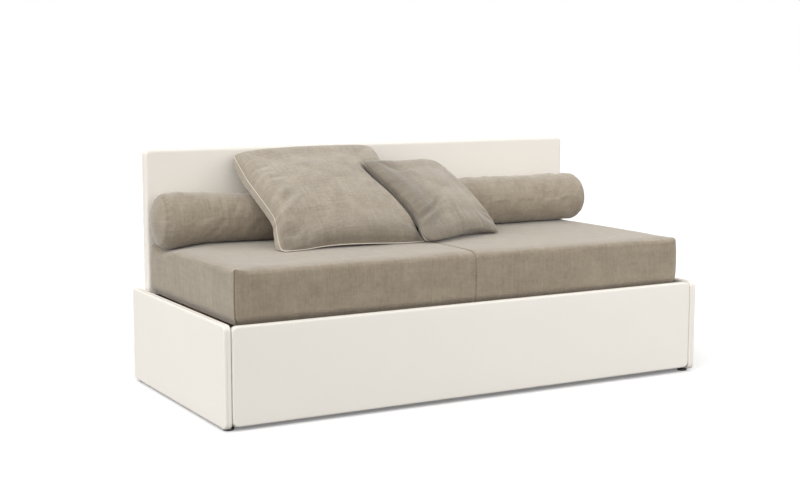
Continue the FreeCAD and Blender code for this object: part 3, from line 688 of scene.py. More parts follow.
def mattress_block(low, high, edge, uprights, x_cuts, y_cuts, z_cuts):
    """A block with rounded edges. The uprights are the radii of its corners on the left and on the right."""
    shape = block(low, high)
    for side, radius in zip((-1, 1), uprights):
        standing = [rib for rib in shape.edges
                    if runs_along(rib, 2) and side * (rib.verts[0].co.x - (low.x + high.x) / 2) > 0]
        round_edges(shape, standing, radius, 6)
    round_rims(shape, 2, edge, 4)
    for axis, cuts in enumerate((x_cuts, y_cuts, z_cuts)):
        slice_up(shape, axis, cuts)
    return shape


def close_in(low, high, near, step):
    """Cuts along one axis: support cuts by both ends, and even ones between."""
    ends = [low + share for share in near] + [high - share for share in near]
    return ends + even(low + near[-1], high - near[-1], step)


def squeezed(x):
    """The share of the large cushion's weight that the left bolster takes along its length."""
    return smooth_step(x, *WEIGHT_ON) * (1 - smooth_step(x, *WEIGHT_OFF))


def bolster_press(x, form):
    """How far a bolster's underside sinks into the mattress at a place along its length."""
    passed_on = 0.25
    return form.bolster_sink * smooth_step(-x, 0.78, 1.0) + passed_on * form.bolster_squeeze * squeezed(x)


def main_mattress(form, material):
    """The main mattress, with rolled top edges, a middle seam and sides that draw in above the panels."""
    low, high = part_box("mattress")
    panel_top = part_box("left_end_cover")[1].z
    room = Vector((form.mattress_bulge, form.mattress_bulge, 0))
    seam_cuts = [side * step for side in (-1, 1) for step in SEAM_CUTS] + [0]
    foot_cuts = [panel_top + rise for rise in (0, 0.006, 0.013)]
    shape = mattress_block(low + room, high - room, form.mattress_edge,
                           (form.mattress_upright, form.mattress_slack),
                           close_in(low.x, high.x, MATTRESS_CUTS, MATTRESS_STEP) + seam_cuts,
                           close_in(low.y, high.y, MATTRESS_CUTS, MATTRESS_STEP),
                           close_in(low.z, high.z, MATTRESS_CUTS[:1], MATTRESS_RISE) + foot_cuts)
    piece = add_piece("mattress_upholstery", shape, material, "base", "mattress")
    mesh = piece.data
    points = positions(mesh)
    moved = points.copy()
    middle = np.array((low + high) / 2)
    half = np.array((high - low) / 2 - room)
    x, y, z = points.T
    u, v, w = ((points - middle) / half).T

    # Each point's way to the nearest end and side, and the shares that it takes of the top's and sides' moves
    side_fade = (0.010, 0.035)
    corner_x = half[0] - np.abs(x - middle[0])
    corner_y = half[1] - np.abs(y - middle[1])
    side_x = 1 - smooth_step(corner_x, *side_fade)
    side_y = 1 - smooth_step(corner_y, *side_fade)
    over = smooth_step(w, 0.4, 1.0)

    # Sides that swell, and draw in above the panels
    tuck = 1 - smooth_step(z, panel_top + 0.001, panel_top + 0.014)
    swell = form.mattress_bulge * (1 - w ** 2) - form.mattress_tuck * tuck
    moved[:, 0] += np.sign(u) * side_x * swell
    moved[:, 1] += np.sign(v) * side_y * swell

    # A crowned top with sewn points at its corners, a dip beside each point and rolled edges
    crown = (1 - u ** 4) * (1 - v ** 2)
    moved[:, 2] -= over * form.mattress_crown * (1 - crown)
    ear_width = 0.045
    tip_width = 0.018
    ear = hill(corner_x, ear_width) * hill(corner_y, ear_width) \
        + 0.5 * hill(corner_x, tip_width) * hill(corner_y, tip_width)
    right_share = 0.5
    ear *= np.where(u < 0, 1.0, right_share)
    dip_away = 0.10
    dip_length = 0.06
    dip_width = 0.04
    dip_depth = 0.003
    dip = hill(corner_x - dip_away, dip_length) * hill(corner_y, dip_width) \
        + hill(corner_y - dip_away, dip_length) * hill(corner_x, dip_width)
    moved[:, 2] += over * (form.mattress_ear * ear - dip_depth * dip)
    roll_width = 0.06
    roll_x = np.clip(1 - corner_x / roll_width, 0, 1) ** 2
    roll_y = np.clip(1 - corner_y / roll_width, 0, 1) ** 2
    moved[:, 2] -= over * form.mattress_roll * (roll_x + roll_y - roll_x * roll_y)

    # The seam across the middle, with the cloth puffed up on both sides of it
    seam_width = 0.0045
    puff_away = 0.016
    puff_width = 0.012
    puff_up = 0.0010
    puff_out = 0.0008
    side_share = 0.7
    seam = hill(x, seam_width)
    puff = hill(np.abs(x) - puff_away, puff_width)
    moved[:, 2] -= over * (form.seam_depth * seam - puff_up * puff)
    moved[:, 1] -= np.sign(v) * side_y * (side_share * form.seam_depth * seam - puff_out * puff)

    # Sewn upright corners on the left
    corner_reach = form.mattress_upright * 0.35
    corner_depth = 0.0028
    sewn_corner = (corner_x < corner_reach) & (corner_y < corner_reach) & (u < 0)
    moved[sewn_corner, 0] -= np.sign(u[sewn_corner]) * corner_depth
    moved[sewn_corner, 1] -= np.sign(v[sewn_corner]) * corner_depth

    # The hollow under the bolsters, and an uneven cover that stays below the top
    bolster_low, bolster_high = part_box("left_bolster")
    hollow_width = 0.100
    sunk = bolster_press(x, form) * hill(y - (bolster_low.y + bolster_high.y) / 2, hollow_width)
    moved[:, 2] -= over * sunk
    ripple = sum(rough(points, fineness, seed) * height for fineness, seed, height in MATTRESS_RIPPLES)
    tight = 1 - 0.6 * smooth_step(np.maximum(np.abs(u), np.abs(v)), 0.9, 1.0)
    moved[:, 2] += over * ripple * tight
    moved[:, 1] += side_y * ripple * 0.8
    moved[:, 0] += side_x * ripple * 0.8
    ceiling = high.z - sunk + form.mattress_ear * ear
    moved[:, 2] = np.where(over > 0.9, np.minimum(moved[:, 2], ceiling), moved[:, 2])
    set_positions(mesh, moved)

    # Darker cloth along the seam and in the sewn corners, and painted shade in the gap to the panels
    line_shade = 0.35
    line_width = 0.003
    painted_gap_shade = 0.7
    line = line_shade * hill(x, line_width) * np.maximum(side_y, over) * smooth_step(w, -1.0, -0.85)
    gap = 1 - smooth_step(z, panel_top - 0.003, panel_top + 0.008)
    gap = painted_gap_shade * np.maximum(side_x, side_y) * gap
    mark_seams_and_painted_shade(mesh, np.maximum.reduce((line, sewn_corner * 1.0, gap)))
    soften(piece)


def second_mattress(material, cord):
    """The tufted mattress of the pull-out bed, with a tape round its upper and its lower edge."""
    low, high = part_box("second_mattress")
    shape = mattress_block(low, high, SECOND_EDGE, (SECOND_CORNER, SECOND_CORNER),
                           close_in(low.x, high.x, SECOND_CUTS, SECOND_STEP),
                           close_in(low.y, high.y, SECOND_CUTS, SECOND_STEP),
                           close_in(low.z, high.z, SECOND_CUTS[:1], MATTRESS_RISE))
    piece = add_piece("second_mattress_cover", shape, material, "pull_out_bed", "second_mattress")
    mesh = piece.data
    points = positions(mesh)
    middle = np.array((low + high) / 2)
    half = np.array((high - low) / 2)
    u, v, w = ((points - middle) / half).T
    over = smooth_step(w, 0.5, 1.0)
    crown_drop = 0.006
    tuft_depth = 0.0025
    waves = np.cos(points[:, :2] * 2 * math.pi / TUFT_SPACING)
    tufts = waves[:, 0] * waves[:, 1]
    points[:, 2] -= over * (crown_drop * (1 - (1 - u ** 4) * (1 - v ** 4))
                            + tuft_depth * (1 - tufts) * (1 - u ** 8))
    set_positions(mesh, points)
    soften(piece)
    ring = []
    for turn, (sx, sy) in enumerate(((1, 1), (-1, 1), (-1, -1), (1, -1))):
        cx = middle[0] + sx * (half[0] - TAPE_INSET - SECOND_CORNER)
        cy = middle[1] + sy * (half[1] - TAPE_INSET - SECOND_CORNER)
        for step in range(7):
            bend = math.radians(90 * turn + 15 * step)
            ring.append((cx + SECOND_CORNER * math.cos(bend), cy + SECOND_CORNER * math.sin(bend)))
    for name, level in (("upper", high.z - 0.0105), ("lower", low.z + 0.0085)):
        loop = [Vector((x, y, level)) for x, y in ring]
        add_piping(f"second_mattress_{name}_tape", loop, TAPE_RADIUS, cord, "pull_out_bed")


# Bolsters


# Each bolster's seed, and the depth of its drag lines in metres
BOLSTERS = (("left", 3, 0.0046), ("right", 4, 0.0062))
BOLSTER_SIDES = 96
BOLSTER_STEP = 0.011
# Heights of the bolsters' lumps and of the gathers at their ends, and depth of the sewn line, in metres
LUMP_HEIGHT = 0.0030
GATHER_HEIGHT = 0.0024
LINE_DEPTH = 0.0012
# Place of the sewn line as a share of the way round an end, the number of gathers, and the line's darkness
LINE_PLACE = 0.42
GATHER_COUNT = 24
LINE_SHADE = 0.22
# Widths of the rings on a bolster's end, from the rim inwards, as shares of three quarters of its radius
CAP_RINGS = (0.05, 0.10, 0.15, 0.2, 0.2, 0.25, 0.3)


def bolster(side, seed, drag_depth, form, material):
    """A round bolster: sewn round ends with small gathers, and soft drag lines round it."""
    node = side + "_bolster"
    low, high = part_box(node)
    middle = (low + high) / 2
    radius = (high.z - low.z) / 2
    span = high.x - low.x
    turn = form.bolster_round
    shape = bmesh.new()
    lying = Matrix.Translation(middle) @ Matrix.Rotation(math.pi / 2, 4, "Y")
    bmesh.ops.create_cone(shape, cap_ends=True, segments=BOLSTER_SIDES, radius1=radius, radius2=radius,
                          depth=span, matrix=lying)
    caps = [face for face in shape.faces if len(face.verts) > 4]
    for cap in caps:
        for share in CAP_RINGS:
            bmesh.ops.inset_region(shape, faces=[cap], thickness=radius * share * 0.75, use_even_offset=True)
    bmesh.ops.poke(shape, faces=[face for face in shape.faces if len(face.verts) > 4])
    turn_cuts = [turn * step / 8 for step in range(1, 9)]
    slice_up(shape, 0, [low.x + cut for cut in turn_cuts] + [high.x - cut for cut in turn_cuts]
             + even(low.x + turn, high.x - turn, BOLSTER_STEP))
    piece = add_piece(node + "_upholstery", shape, material, node, node)
    mesh = piece.data
    points = positions(mesh)
    centre = np.array(middle)
    along = points[:, 0] - centre[0]
    out_y = points[:, 1] - centre[1]
    out_z = points[:, 2] - centre[2]
    from_end = span / 2 - np.abs(along)
    ring = np.hypot(out_y, out_z)
    bearing = np.arctan2(out_z, out_y)
    on_cap = from_end < 1e-5

    # The plain form: a cylinder with rounded, domed ends
    share = np.where(on_cap, np.clip(ring / radius, 0, 1), 1.0)
    rounding = np.where(on_cap, 0, np.clip(1 - from_end / turn, 0, 1))
    reach = np.where(on_cap, (radius - turn) * share, radius - turn * (1 - np.sqrt(1 - rounding ** 2)))
    swell = np.where(on_cap, form.bolster_dome * (1 - share ** 2), 0)

    # Soft lumps, drag lines round it, and gathers by the sewn line at each end
    soft = rough(points, 4.5, seed)
    drag_spacing = 0.034
    drag = np.array([noise.noise(Vector((x / drag_spacing + 1.6 * math.sin(b + seed), b * 1.1, seed)))
                     for x, b in zip(points[:, 0], bearing)])
    gather = np.array([noise.noise(Vector((math.cos(b) * 3.4, math.sin(b) * 3.4, seed + 9)))
                       for b in bearing])
    folds = np.cos(bearing * GATHER_COUNT + 5 * gather) * (0.5 + gather)
    from_line = from_end - turn * LINE_PLACE
    sewn_line = hill(from_line, 0.004) * ~on_cap
    pucker = hill(from_line, 0.020)
    under = smooth_step(-out_z / radius, 0.55, 0.95)
    lift = LUMP_HEIGHT * soft + drag_depth * drag * (1 - pucker) + GATHER_HEIGHT * folds * pucker * ~on_cap
    lift *= 1 - 0.6 * under
    reach = reach + lift * np.where(on_cap, share, 1) - LINE_DEPTH * sewn_line
    scale = np.where(ring > 1e-6, reach / np.maximum(ring, 1e-6), 0)
    moved = points.copy()
    moved[:, 1] = centre[1] + out_y * scale
    moved[:, 2] = centre[2] + out_z * scale

    # Ends pushed out by the filling, less so where the bolsters meet
    inner_share = 0.25
    stretch = swell + form.bolster_stretch * smooth_step(np.abs(along), 0.3, span / 2)
    moved[:, 0] += np.sign(along) * stretch * np.where(along * centre[0] > 0, 1, inner_share)

    # The left bolster sinks into the mattress, and is flattened and widened by the large cushion
    if side == "left":
        height = np.clip((moved[:, 2] - low.z) / (2 * radius), 0, 1)
        flatten = form.bolster_squeeze * squeezed(points[:, 0])
        moved[:, 2] -= bolster_press(points[:, 0], form) * (1 - 0.85 * height) + flatten * height
        moved[:, 1] = centre[1] + (moved[:, 1] - centre[1]) * (1 + 0.2 * flatten / radius)
    set_positions(mesh, moved)
    mark_seams_and_painted_shade(mesh, LINE_SHADE * sewn_line)
    soften(piece)


# Cushions


# Share of its rise that a sheet has before it is filled
UNFILLED = 0.92
# Two powers by which a cushion's back falls towards each of its four sides
BACK_RISE = ((3, 0.5),) * 4
# Powers by which a side's draw fades out across the sheet and towards the side's two ends
DRAW_POWER = 1.5
DRAW_END_POWER = 6
# Shares of the way to the seam between which the simulated filling fades out
FILL_FADE = (0.60, 0.98)
FILL_SMOOTHING = 8
# Lumps of the filling: fineness and height in metres
LUMPS = ((6.0, 0.005), (14.0, 0.003))
# Reach of a corner's shift, as a share of half a cushion's side
CORNER_REACH = 0.34
# Shares across a cushion between which the bend of its left side and the painted shade on its left side set
# in
BEND_FADE = (0.2, 1.0)
PAINTED_FLANK_FADE = (0.10, 1.00)
# How much darker the weave is along the seam, how much painted shade lies low down on a cushion's front, and
# the heights between which that shade ends
SEAM_SHADE = 0.15
LOW_PAINTED_SHADE = 0.60
LOW_HEIGHTS = (0.57, 0.72)


def sewn_sheets(cut, cells):
    """Two square sheets sewn together along their border and drawn in between the corners.

    Each side is drawn in by a depth, round a place and over a width along that side. The front is highest at
    its peak and falls towards each side by two powers. The sides are the left, right, bottom and top.
    """
    size = cut["size"]
    shape = bmesh.new()
    bmesh.ops.create_grid(shape, x_segments=cells, y_segments=cells, size=size / 2)
    weave = shape.loops.layers.uv.new("weave")
    for face in shape.faces:
        for loop in face.loops:
            loop[weave].uv = loop.vert.co.xy
    copied = bmesh.ops.duplicate(shape, geom=shape.verts[:] + shape.edges[:] + shape.faces[:])["geom"]
    bmesh.ops.reverse_faces(shape, faces=[part for part in copied if isinstance(part, bmesh.types.BMFace)])
    behind = {part for part in copied if isinstance(part, bmesh.types.BMVert)}
    left, right, bottom, top = cut["draw"]
    for vert in shape.verts:
        u = 2 * vert.co.x / size
        v = 2 * vert.co.y / size
        if vert in behind:
            vert.co.z = -cut["back"] * UNFILLED * dome(u, v, (0, 0), BACK_RISE)
        else:
            vert.co.z = cut["crown"] * UNFILLED * dome(u, v, cut["peak"], cut["rise"])
        vert.co.x += drawn(left, -u, v) - drawn(right, u, v)
        vert.co.y += drawn(bottom, -v, u) - drawn(top, v, u)
    bmesh.ops.remove_doubles(shape, verts=shape.verts[:], dist=1e-5)
    return shape


def dome(u, v, peak, rise):
    """The share of a sheet's rise at a place on it."""
    left, right, bottom, top = rise
    return fall(u - peak[0], 1 + peak[0], 1 - peak[0], left, right) \
        * fall(v - peak[1], 1 + peak[1], 1 - peak[1], bottom, top)


def fall(away, before, after, low_side, high_side):
    """How a sheet falls from its peak towards two opposite sides."""
    reach, (first, second) = (before, low_side) if away < 0 else (after, high_side)
    return max(0, 1 - (abs(away) / reach) ** first) ** second


def drawn(side, towards, share):
    """How far a side draws the sheet in, at a way towards that side and a share along it."""
    depth, middle, width = side
    return depth * hill(share - middle, width) * (1 - share ** DRAW_END_POWER) * max(0, towards) ** DRAW_POWER


def flat_places(mesh, half):
    """Where each point of a cushion lies on its flat cloth, as shares of half its side."""
    spots = np.empty(len(mesh.loops) * 2)
    mesh.uv_layers["weave"].data.foreach_get("uv", spots)
    owners = np.empty(len(mesh.loops), dtype=int)
    mesh.loops.foreach_get("vertex_index", owners)
    flat = np.empty((len(mesh.vertices), 2))
    flat[owners] = spots.reshape(-1, 2) / half
    return flat


def inflate(piece, border, frames, reach):
    """Fill the sewn sheets like a cushion, and keep the shape that they settle into within a reach."""
    start = positions(piece.data)
    seam = piece.vertex_groups.new(name="seam")
    seam.add(np.flatnonzero(border).tolist(), 1.0, "REPLACE")
    cloth = piece.modifiers.new("Filling", "CLOTH")
    cloth.settings.vertex_group_mass = seam.name
    cloth.settings.quality = 5
    cloth.settings.mass = 0.25
    cloth.settings.air_damping = 2
    cloth.settings.tension_stiffness = 30
    cloth.settings.compression_stiffness = 25
    cloth.settings.shear_stiffness = 10
    cloth.settings.bending_stiffness = 0.4
    cloth.settings.use_pressure = True
    cloth.settings.uniform_pressure_force = 4
    cloth.settings.effector_weights.gravity = 0
    cloth.point_cache.frame_start = 1
    cloth.point_cache.frame_end = frames
    scene = bpy.context.scene
    for number in range(1, frames + 1):
        scene.frame_set(number)
    moved = positions(piece.evaluated_get(bpy.context.evaluated_depsgraph_get()).data) - start
    piece.modifiers.remove(cloth)
    piece.vertex_groups.remove(seam)
    scene.frame_set(1)
    distance = np.linalg.norm(moved, axis=1)
    return start + moved * np.minimum(1, reach / np.maximum(distance, 1e-9))[:, None]


def relaxed(mesh, points, times):
    """Each point drawn half way to the middle of its neighbours, several times."""
    ends = np.empty(len(mesh.edges) * 2, dtype=int)
    mesh.edges.foreach_get("vertices", ends)
    first, second = ends.reshape(-1, 2).T
    count = np.bincount(ends, minlength=len(points))[:, None]
    for _ in range(times):
        total = np.zeros_like(points)
        np.add.at(total, first, points[second])
        np.add.at(total, second, points[first])
        points = (points + total / count) / 2
    return points


def bulge(points, flat, sheet, rise, overhang):
    """Let one sheet of a cushion swell out past its seam on the left, right, bottom and top."""
    u, v = flat.T
    height = np.clip(np.abs(points[:, 2]) / rise, 0, 1)
    belly = np.sin(np.pi * height ** 0.4) * sheet
    left, right, bottom, top = overhang
    points[:, 0] += belly * (right * by_side(u) - left * by_side(-u)) * (1 - v ** 14)
    points[:, 1] += belly * (top * by_side(v) - bottom * by_side(-v)) * (1 - u ** 14)


def by_side(share):
    """Nothing in a cushion's middle, and one at the side that a share counts towards."""
    return np.clip(share, 0, 1) ** 4


def creased(points, flat, front, start, end, depth, width):
    """Press a fold with a low ridge beside it into the front sheet, between two places of the flat cloth."""
    begin = np.array(start)
    run = np.array(end) - begin
    share = np.clip(((flat - begin) @ run) / (run @ run), 0, 1)
    away = np.linalg.norm(flat - begin - share[:, None] * run, axis=1)
    fade = np.sin(np.pi * np.clip(0.12 + 0.88 * share, 0, 1)) ** 0.7
    ridge_height = 0.45
    ridge_away = 2.1
    fold = depth * fade * (hill(away, width) - ridge_height * hill(away - ridge_away * width, width))
    points[:, 2] -= np.where(front, fold, 0)


def gathers(flat, half, seed):
    """Small puckers square to the seam, which fade out towards the middle."""
    spacing = 0.016
    height = 0.0026
    u, v = flat.T
    by_end = np.abs(u) > np.abs(v)
    along = np.where(by_end, v, u) * half
    away = (1 - np.max(np.abs(flat), axis=1)) * half
    edge = np.where(by_end, np.sign(u), 2 * np.sign(v))
    wave = np.array([noise.noise(Vector((spot / spacing, number * 5.3, seed)))
                     for spot, number in zip(along, edge)])
    return height * wave * hill(away - 0.010, 0.016)


def pressed(mesh, points, leaning, stance):
    """Hollow a cushion where another one leans on it, with a soft edge round the hollow."""
    gap = 0.007
    below = 0.5
    reach = 0.009
    spread = 1.4
    smoothing = 14
    faces = [tuple(face.vertices) for face in leaning.data.polygons]
    tree = BVHTree.FromPolygons([Vector(point) for point in positions(leaning.data)], faces)
    across, along, normal = (column.to_3d() for column in list(stance.col)[:3])
    beside = [Vector()] + [side * way for side in (across, along) for way in (-reach, reach)]
    depth = np.zeros(len(points))
    for number, point in enumerate(points):
        start = Vector(point) - normal * below
        room = min(tree.ray_cast(start + shift, normal)[3] or 2 * below for shift in beside)
        depth[number] = max(0, below + gap - room)
    around = spread * relaxed(mesh, depth[:, None], smoothing)[:, 0]
    return points - np.maximum(depth, around)[:, None] * np.array(normal)


def rest_on_bed(points, form):
    """Keep a cushion above the mattress and in front of the bolsters."""
    gap = 0.002
    low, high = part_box("left_bolster")
    radius = (high.z - low.z) / 2 + gap
    axis = np.array(((low.y + high.y) / 2, (low.z + high.z) / 2))
    across = points[:, 1:] - axis
    distance = np.linalg.norm(across, axis=1)
    inside = distance < radius
    points[inside, 1:] = axis + across[inside] * (radius / distance[inside])[:, None]
    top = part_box("mattress")[1].z + form.piping + gap
    points[:, 2] = np.maximum(points[:, 2], top)
    return points


def fill_cushion(name, cut, stance, form, material, cord, leaning=None):
    """Cut, fill, crease and place one cushion, and sew its piping on."""
    half = cut["size"] / 2
    seed = cut["seed"]
    shape = sewn_sheets(cut, form.cells)
    piece = add_piece(name + "_upholstery", shape, material, name, name)
    mesh = piece.data
    start = positions(mesh)
    flat = flat_places(mesh, half)
    u, v = flat.T
    to_seam = np.max(np.abs(flat), axis=1)
    border = to_seam > 1 - 1e-4
    front = start[:, 2] > 0
    points = start.copy()
    filled = relaxed(mesh, inflate(piece, border, form.frames, cut["reach"]), FILL_SMOOTHING)
    points += (filled - start) * (1 - smooth_step(to_seam, *FILL_FADE))[:, None]
    points[:, 2] *= np.where(points[:, 2] > 0, cut["crown"] / np.max(points[:, 2]),
                             cut["back"] / -np.min(points[:, 2]))
    bulge(points, flat, front, cut["crown"], cut["overhang"])
    bulge(points, flat, ~front & ~border, cut["back"], cut["underhang"])
    for fold in cut["folds"]:
        creased(points, flat, front, *fold)
    points[:, 2] += gathers(flat, half, seed) * np.where(front, 1, -1) * ~border
    lumps = sum(rough(start, fineness, seed) * height for fineness, height in LUMPS)
    points[:, 2] += lumps * (1 - to_seam ** 4)
    for (corner_u, corner_v), shift in cut["corners"]:
        near = hill(u - corner_u, CORNER_REACH) * hill(v - corner_v, CORNER_REACH)
        points += near[:, None] * np.array(shift)
    places, offsets = zip(*cut["bend"])
    points[:, 2] += np.interp(v, places, offsets) * smooth_step(-u, *BEND_FADE)
    points = points @ np.array(stance.to_3x3()).T + np.array(stance.translation)
    if leaning:
        points = pressed(mesh, points, leaning, stance)
    points = rest_on_bed(points, form)
    set_positions(mesh, points)
    # Painted shade low down on the cushion's front
    painted_low_shade = LOW_PAINTED_SHADE * (1 - smooth_step(points[:, 2], *LOW_HEIGHTS)) * front
    # Painted shade on the cushion's left side, where the large cushion shades the small one
    painted_flank_shade = cut["painted_flank_shade"] * smooth_step(-u, *PAINTED_FLANK_FADE) * front
    mark_seams_and_painted_shade(mesh, np.maximum.reduce((border * SEAM_SHADE, painted_low_shade, painted_flank_shade)))
    order = np.argsort(np.arctan2(v[border], u[border]))
    line = points[border][order]
    for _ in range(3):
        line = (np.roll(line, 1, axis=0) + 2 * line + np.roll(line, -1, axis=0)) / 4
    add_piping(name + "_piping", [Vector(point) for point in line], form.piping, cord, name)
    soften(piece)
    return piece


# Folds of the cushions' fronts: from and to, as shares of half the side, depth in metres and width as a share
LARGE_FOLDS = (
    ((-0.99, -0.50), (-0.62, -0.16), 0.012, 0.055),
    ((-0.98, 0.12), (-0.62, 0.18), 0.005, 0.040),
    ((-0.97, 0.42), (-0.72, 0.46), 0.004, 0.035),
    ((-0.99, -0.76), (-0.70, -0.80), 0.008, 0.050),
    ((-0.70, -0.98), (-0.64, -0.78), 0.006, 0.040),
    ((0.95, -0.90), (0.66, -0.74), 0.003, 0.045),
)
SMALL_FOLDS = (
    ((-0.97, -0.58), (-0.28, -0.28), 0.008, 0.045),
    ((-0.55, -0.50), (-0.26, -0.38), 0.004, 0.035),
    ((-0.24, -0.96), (-0.10, -0.50), 0.005, 0.035),
    ((-0.04, -0.96), (0.06, -0.55), 0.004, 0.035),
    ((0.42, -0.97), (0.44, -0.62), 0.004, 0.030),
    ((0.97, -0.72), (0.70, -0.60), 0.004, 0.030),
)


# How each cushion is cut and filled, with lengths in metres and places as shares of half its side.
# Four values in a row are for the left, right, bottom and top.
# draw: how far a side is drawn in, round which place and over which width
# overhang, underhang: how far the front and the back swell out past the seam
# corners: the corners that are shifted, and how far
# peak, rise: where the front is highest, and the two powers by which it falls towards a side
# left shade: how much painted shade darkens the cushion's left side
# bend: how far the left side stands forward, by places up the cushion
# reach: how far the filling may move the cloth


def large_cut(form):
    return {
        "size": form.large_size,
        "crown": form.large_crown,
        "back": form.large_back,
        "draw": ((0.006, -0.33, 0.40), (0.010, 0, 0.7), (0.014, -0.2, 0.6), (0.008, 0, 0.7)),
        "overhang": (0.000, 0.014, 0.004, 0.004),
        "underhang": (0.026, 0, 0, 0),
        "corners": (((-1, -1), (-0.012, -0.014, 0)), ((1, -1), (0, -0.010, 0)),
                    ((1, 1), (0.012, 0.004, 0.008))),
        "peak": (0.05, -0.20),
        "rise": ((2.2, 0.42), (2.6, 0.40), (2.0, 0.58), (2.4, 0.44)),
        "painted_flank_shade": 0,
        "folds": LARGE_FOLDS,
        "bend": ((-1, 0), (-0.92, -0.012), (-0.75, -0.008), (-0.62, 0.012), (-0.55, 0.030), (-0.4, 0.029),
                 (-0.12, 0.020), (0.19, 0.011), (0.47, 0), (1, 0)),
        "reach": 0.022,
        "seed": 11,
    }


def small_cut(form):
    return {
        "size": form.small_size,
        "crown": form.small_crown,
        "back": form.small_back,
        "draw": ((0.012, 0.05, 0.70), (0.010, 0, 0.7), (0.024, 0.1, 0.7), (0.006, 0, 0.7)),
        "overhang": (0.044, 0.002, 0.036, 0.004),
        "underhang": (0, 0, 0, 0),
        "corners": (((-1, 1), (-0.004, 0.030, 0.006)), ((-1, -1), (-0.036, 0.010, 0)),
                    ((1, -1), (-0.010, -0.004, 0))),
        "peak": (-0.05, -0.10),
        "rise": ((2.4, 0.44), (2.2, 0.44), (2.2, 0.46), (2.4, 0.42)),
        # Painted shade on the left side, where the large cushion shades it
        "painted_flank_shade": 0.55,
        "folds": SMALL_FOLDS,
        "bend": ((-1, 0), (-0.4, 0.010), (1, 0)),
        "reach": 0.018,
        "seed": 12,
    }


def stance_of(centre, turn, lean):
    """Where a cushion stands: the middle of its seam, its turn to the right and its slope."""
    return Matrix.Translation(centre) @ Matrix.Rotation(turn, 4, "Z") @ Matrix.Rotation(lean, 4, "X")


# Finishes of the frame's own nodes


# Each finish, and the endings of the names of the nodes that get it
NODE_FINISHES = (
    ("steel", ("_rail",)),
    ("beech", ("bed_slats", "trundle_slats")),
    ("zinc", ("_brackets", "_angles", "_bolts", "_axles", "castor_forks")),
    ("plastic", ("feet", "_holders", "_wheel")),
    ("board", ("_board",)),
)


def finish_of(node):
    """The name of a node's finish, or None for a node that a piece of the scene stands for."""
    for name, endings in NODE_FINISHES:
        if node.endswith(endings):
            return name
    return None


# Stage


# The camera's sensor in millimetres, and how far it sees in metres
SENSOR_WIDTH = 36
SIGHT = 200
# Half the floor's side, and how far it lies below the feet, in metres
FLOOR_HALF = 60
FLOOR_DROP = 0.0005
WHITE = (1, 1, 1, 1)


def add_camera(scene, stage):
    lens = bpy.data.cameras.new("camera")
    lens.lens = stage.lens
    lens.sensor_width = SENSOR_WIDTH
    lens.clip_end = SIGHT
    camera = linked("camera", lens)
    camera.location = stage.camera_place
    camera.rotation_euler = (math.pi / 2 - stage.camera_pitch, 0, -stage.camera_yaw)
    scene.camera = camera


def shining_from(where):
    return Vector(where).to_track_quat("Z", "Y").to_euler()


def add_lamps(stage):
    for name, strength, where in (("key_lamp", stage.key, stage.key_from),
                                  ("fill_lamp", stage.fill, stage.fill_from)):
        lamp = bpy.data.lights.new(name, "SUN")
        lamp.energy = strength
        lamp.angle = stage.softness
        linked(name, lamp).rotation_euler = shining_from(where)
    lamp = bpy.data.lights.new("light_panel", "AREA")
    lamp.energy = stage.panel
    lamp.size = stage.panel_side
    panel = linked("light_panel", lamp)
    panel.location = stage.panel_place
    panel.rotation_euler = shining_from(stage.panel_place)


def seen(shader):
    """One for what the camera sees, straight, mirrored or through glass."""
    straight = shader.node("ShaderNodeLightPath", {}, {}, "Is Camera Ray")
    mirrored = shader.node("ShaderNodeLightPath", {}, {}, "Is Glossy Ray")
    through = shader.node("ShaderNodeLightPath", {}, {}, "Is Transmission Ray")
    return straight.highest(mirrored).highest(through)


def add_sky(scene, stage):
    """Even light from all round, which the camera sees as white."""
    world = bpy.data.worlds.new("studio")
    scene.world = world
    world.use_nodes = True
    sky = Shader(world.node_tree)
    strength = stage.sky + seen(sky) * (1 - stage.sky)
    white = sky.node("ShaderNodeBackground", {}, {"Color": WHITE, "Strength": strength})
    sky.node("ShaderNodeOutputWorld", {}, {"Surface": white})


def add_floor(stage):
    """A pale floor that keeps the shadow, and lights the sofa bed less than it shows."""
    ground = bmesh.new()
    bmesh.ops.create_grid(ground, x_segments=1, y_segments=1, size=FLOOR_HALF,
                          matrix=Matrix.Translation((0, 0, -FLOOR_DROP)))
    mesh = bpy.data.meshes.new("floor")
    ground.to_mesh(mesh)
    ground.free()
    floor = linked("floor", mesh)
    material = bpy.data.materials.new("pale_floor")
    material.use_nodes = True
    mesh.materials.append(material)
    pale = Shader(material.node_tree)
    shown = seen(pale)
    tone = pale.mix(shown, stage.floor_bounce, stage.floor)
    matt = pale.node("ShaderNodeBsdfDiffuse", {}, {"Color": tone})
    glow = pale.node("ShaderNodeEmission", {}, {"Color": WHITE, "Strength": shown * stage.floor_glow})
    both = pale.node("ShaderNodeAddShader", {}, {0: matt, 1: glow})
    pale.node("ShaderNodeOutputMaterial", {}, {"Surface": both})


# Operators


class SOFABED_OT_stage(bpy.types.Operator):
    """Set up the camera, the soft light and the floor"""
    bl_idname = "sofabed.stage"
    bl_label = "Stage"

    def execute(self, context):
        scene = context.scene
        scene.view_settings.view_transform = "Standard"
        add_camera(scene, scene.sofa_stage)
        add_lamps(scene.sofa_stage)
        add_sky(scene, scene.sofa_stage)
        add_floor(scene.sofa_stage)
        return {"FINISHED"}


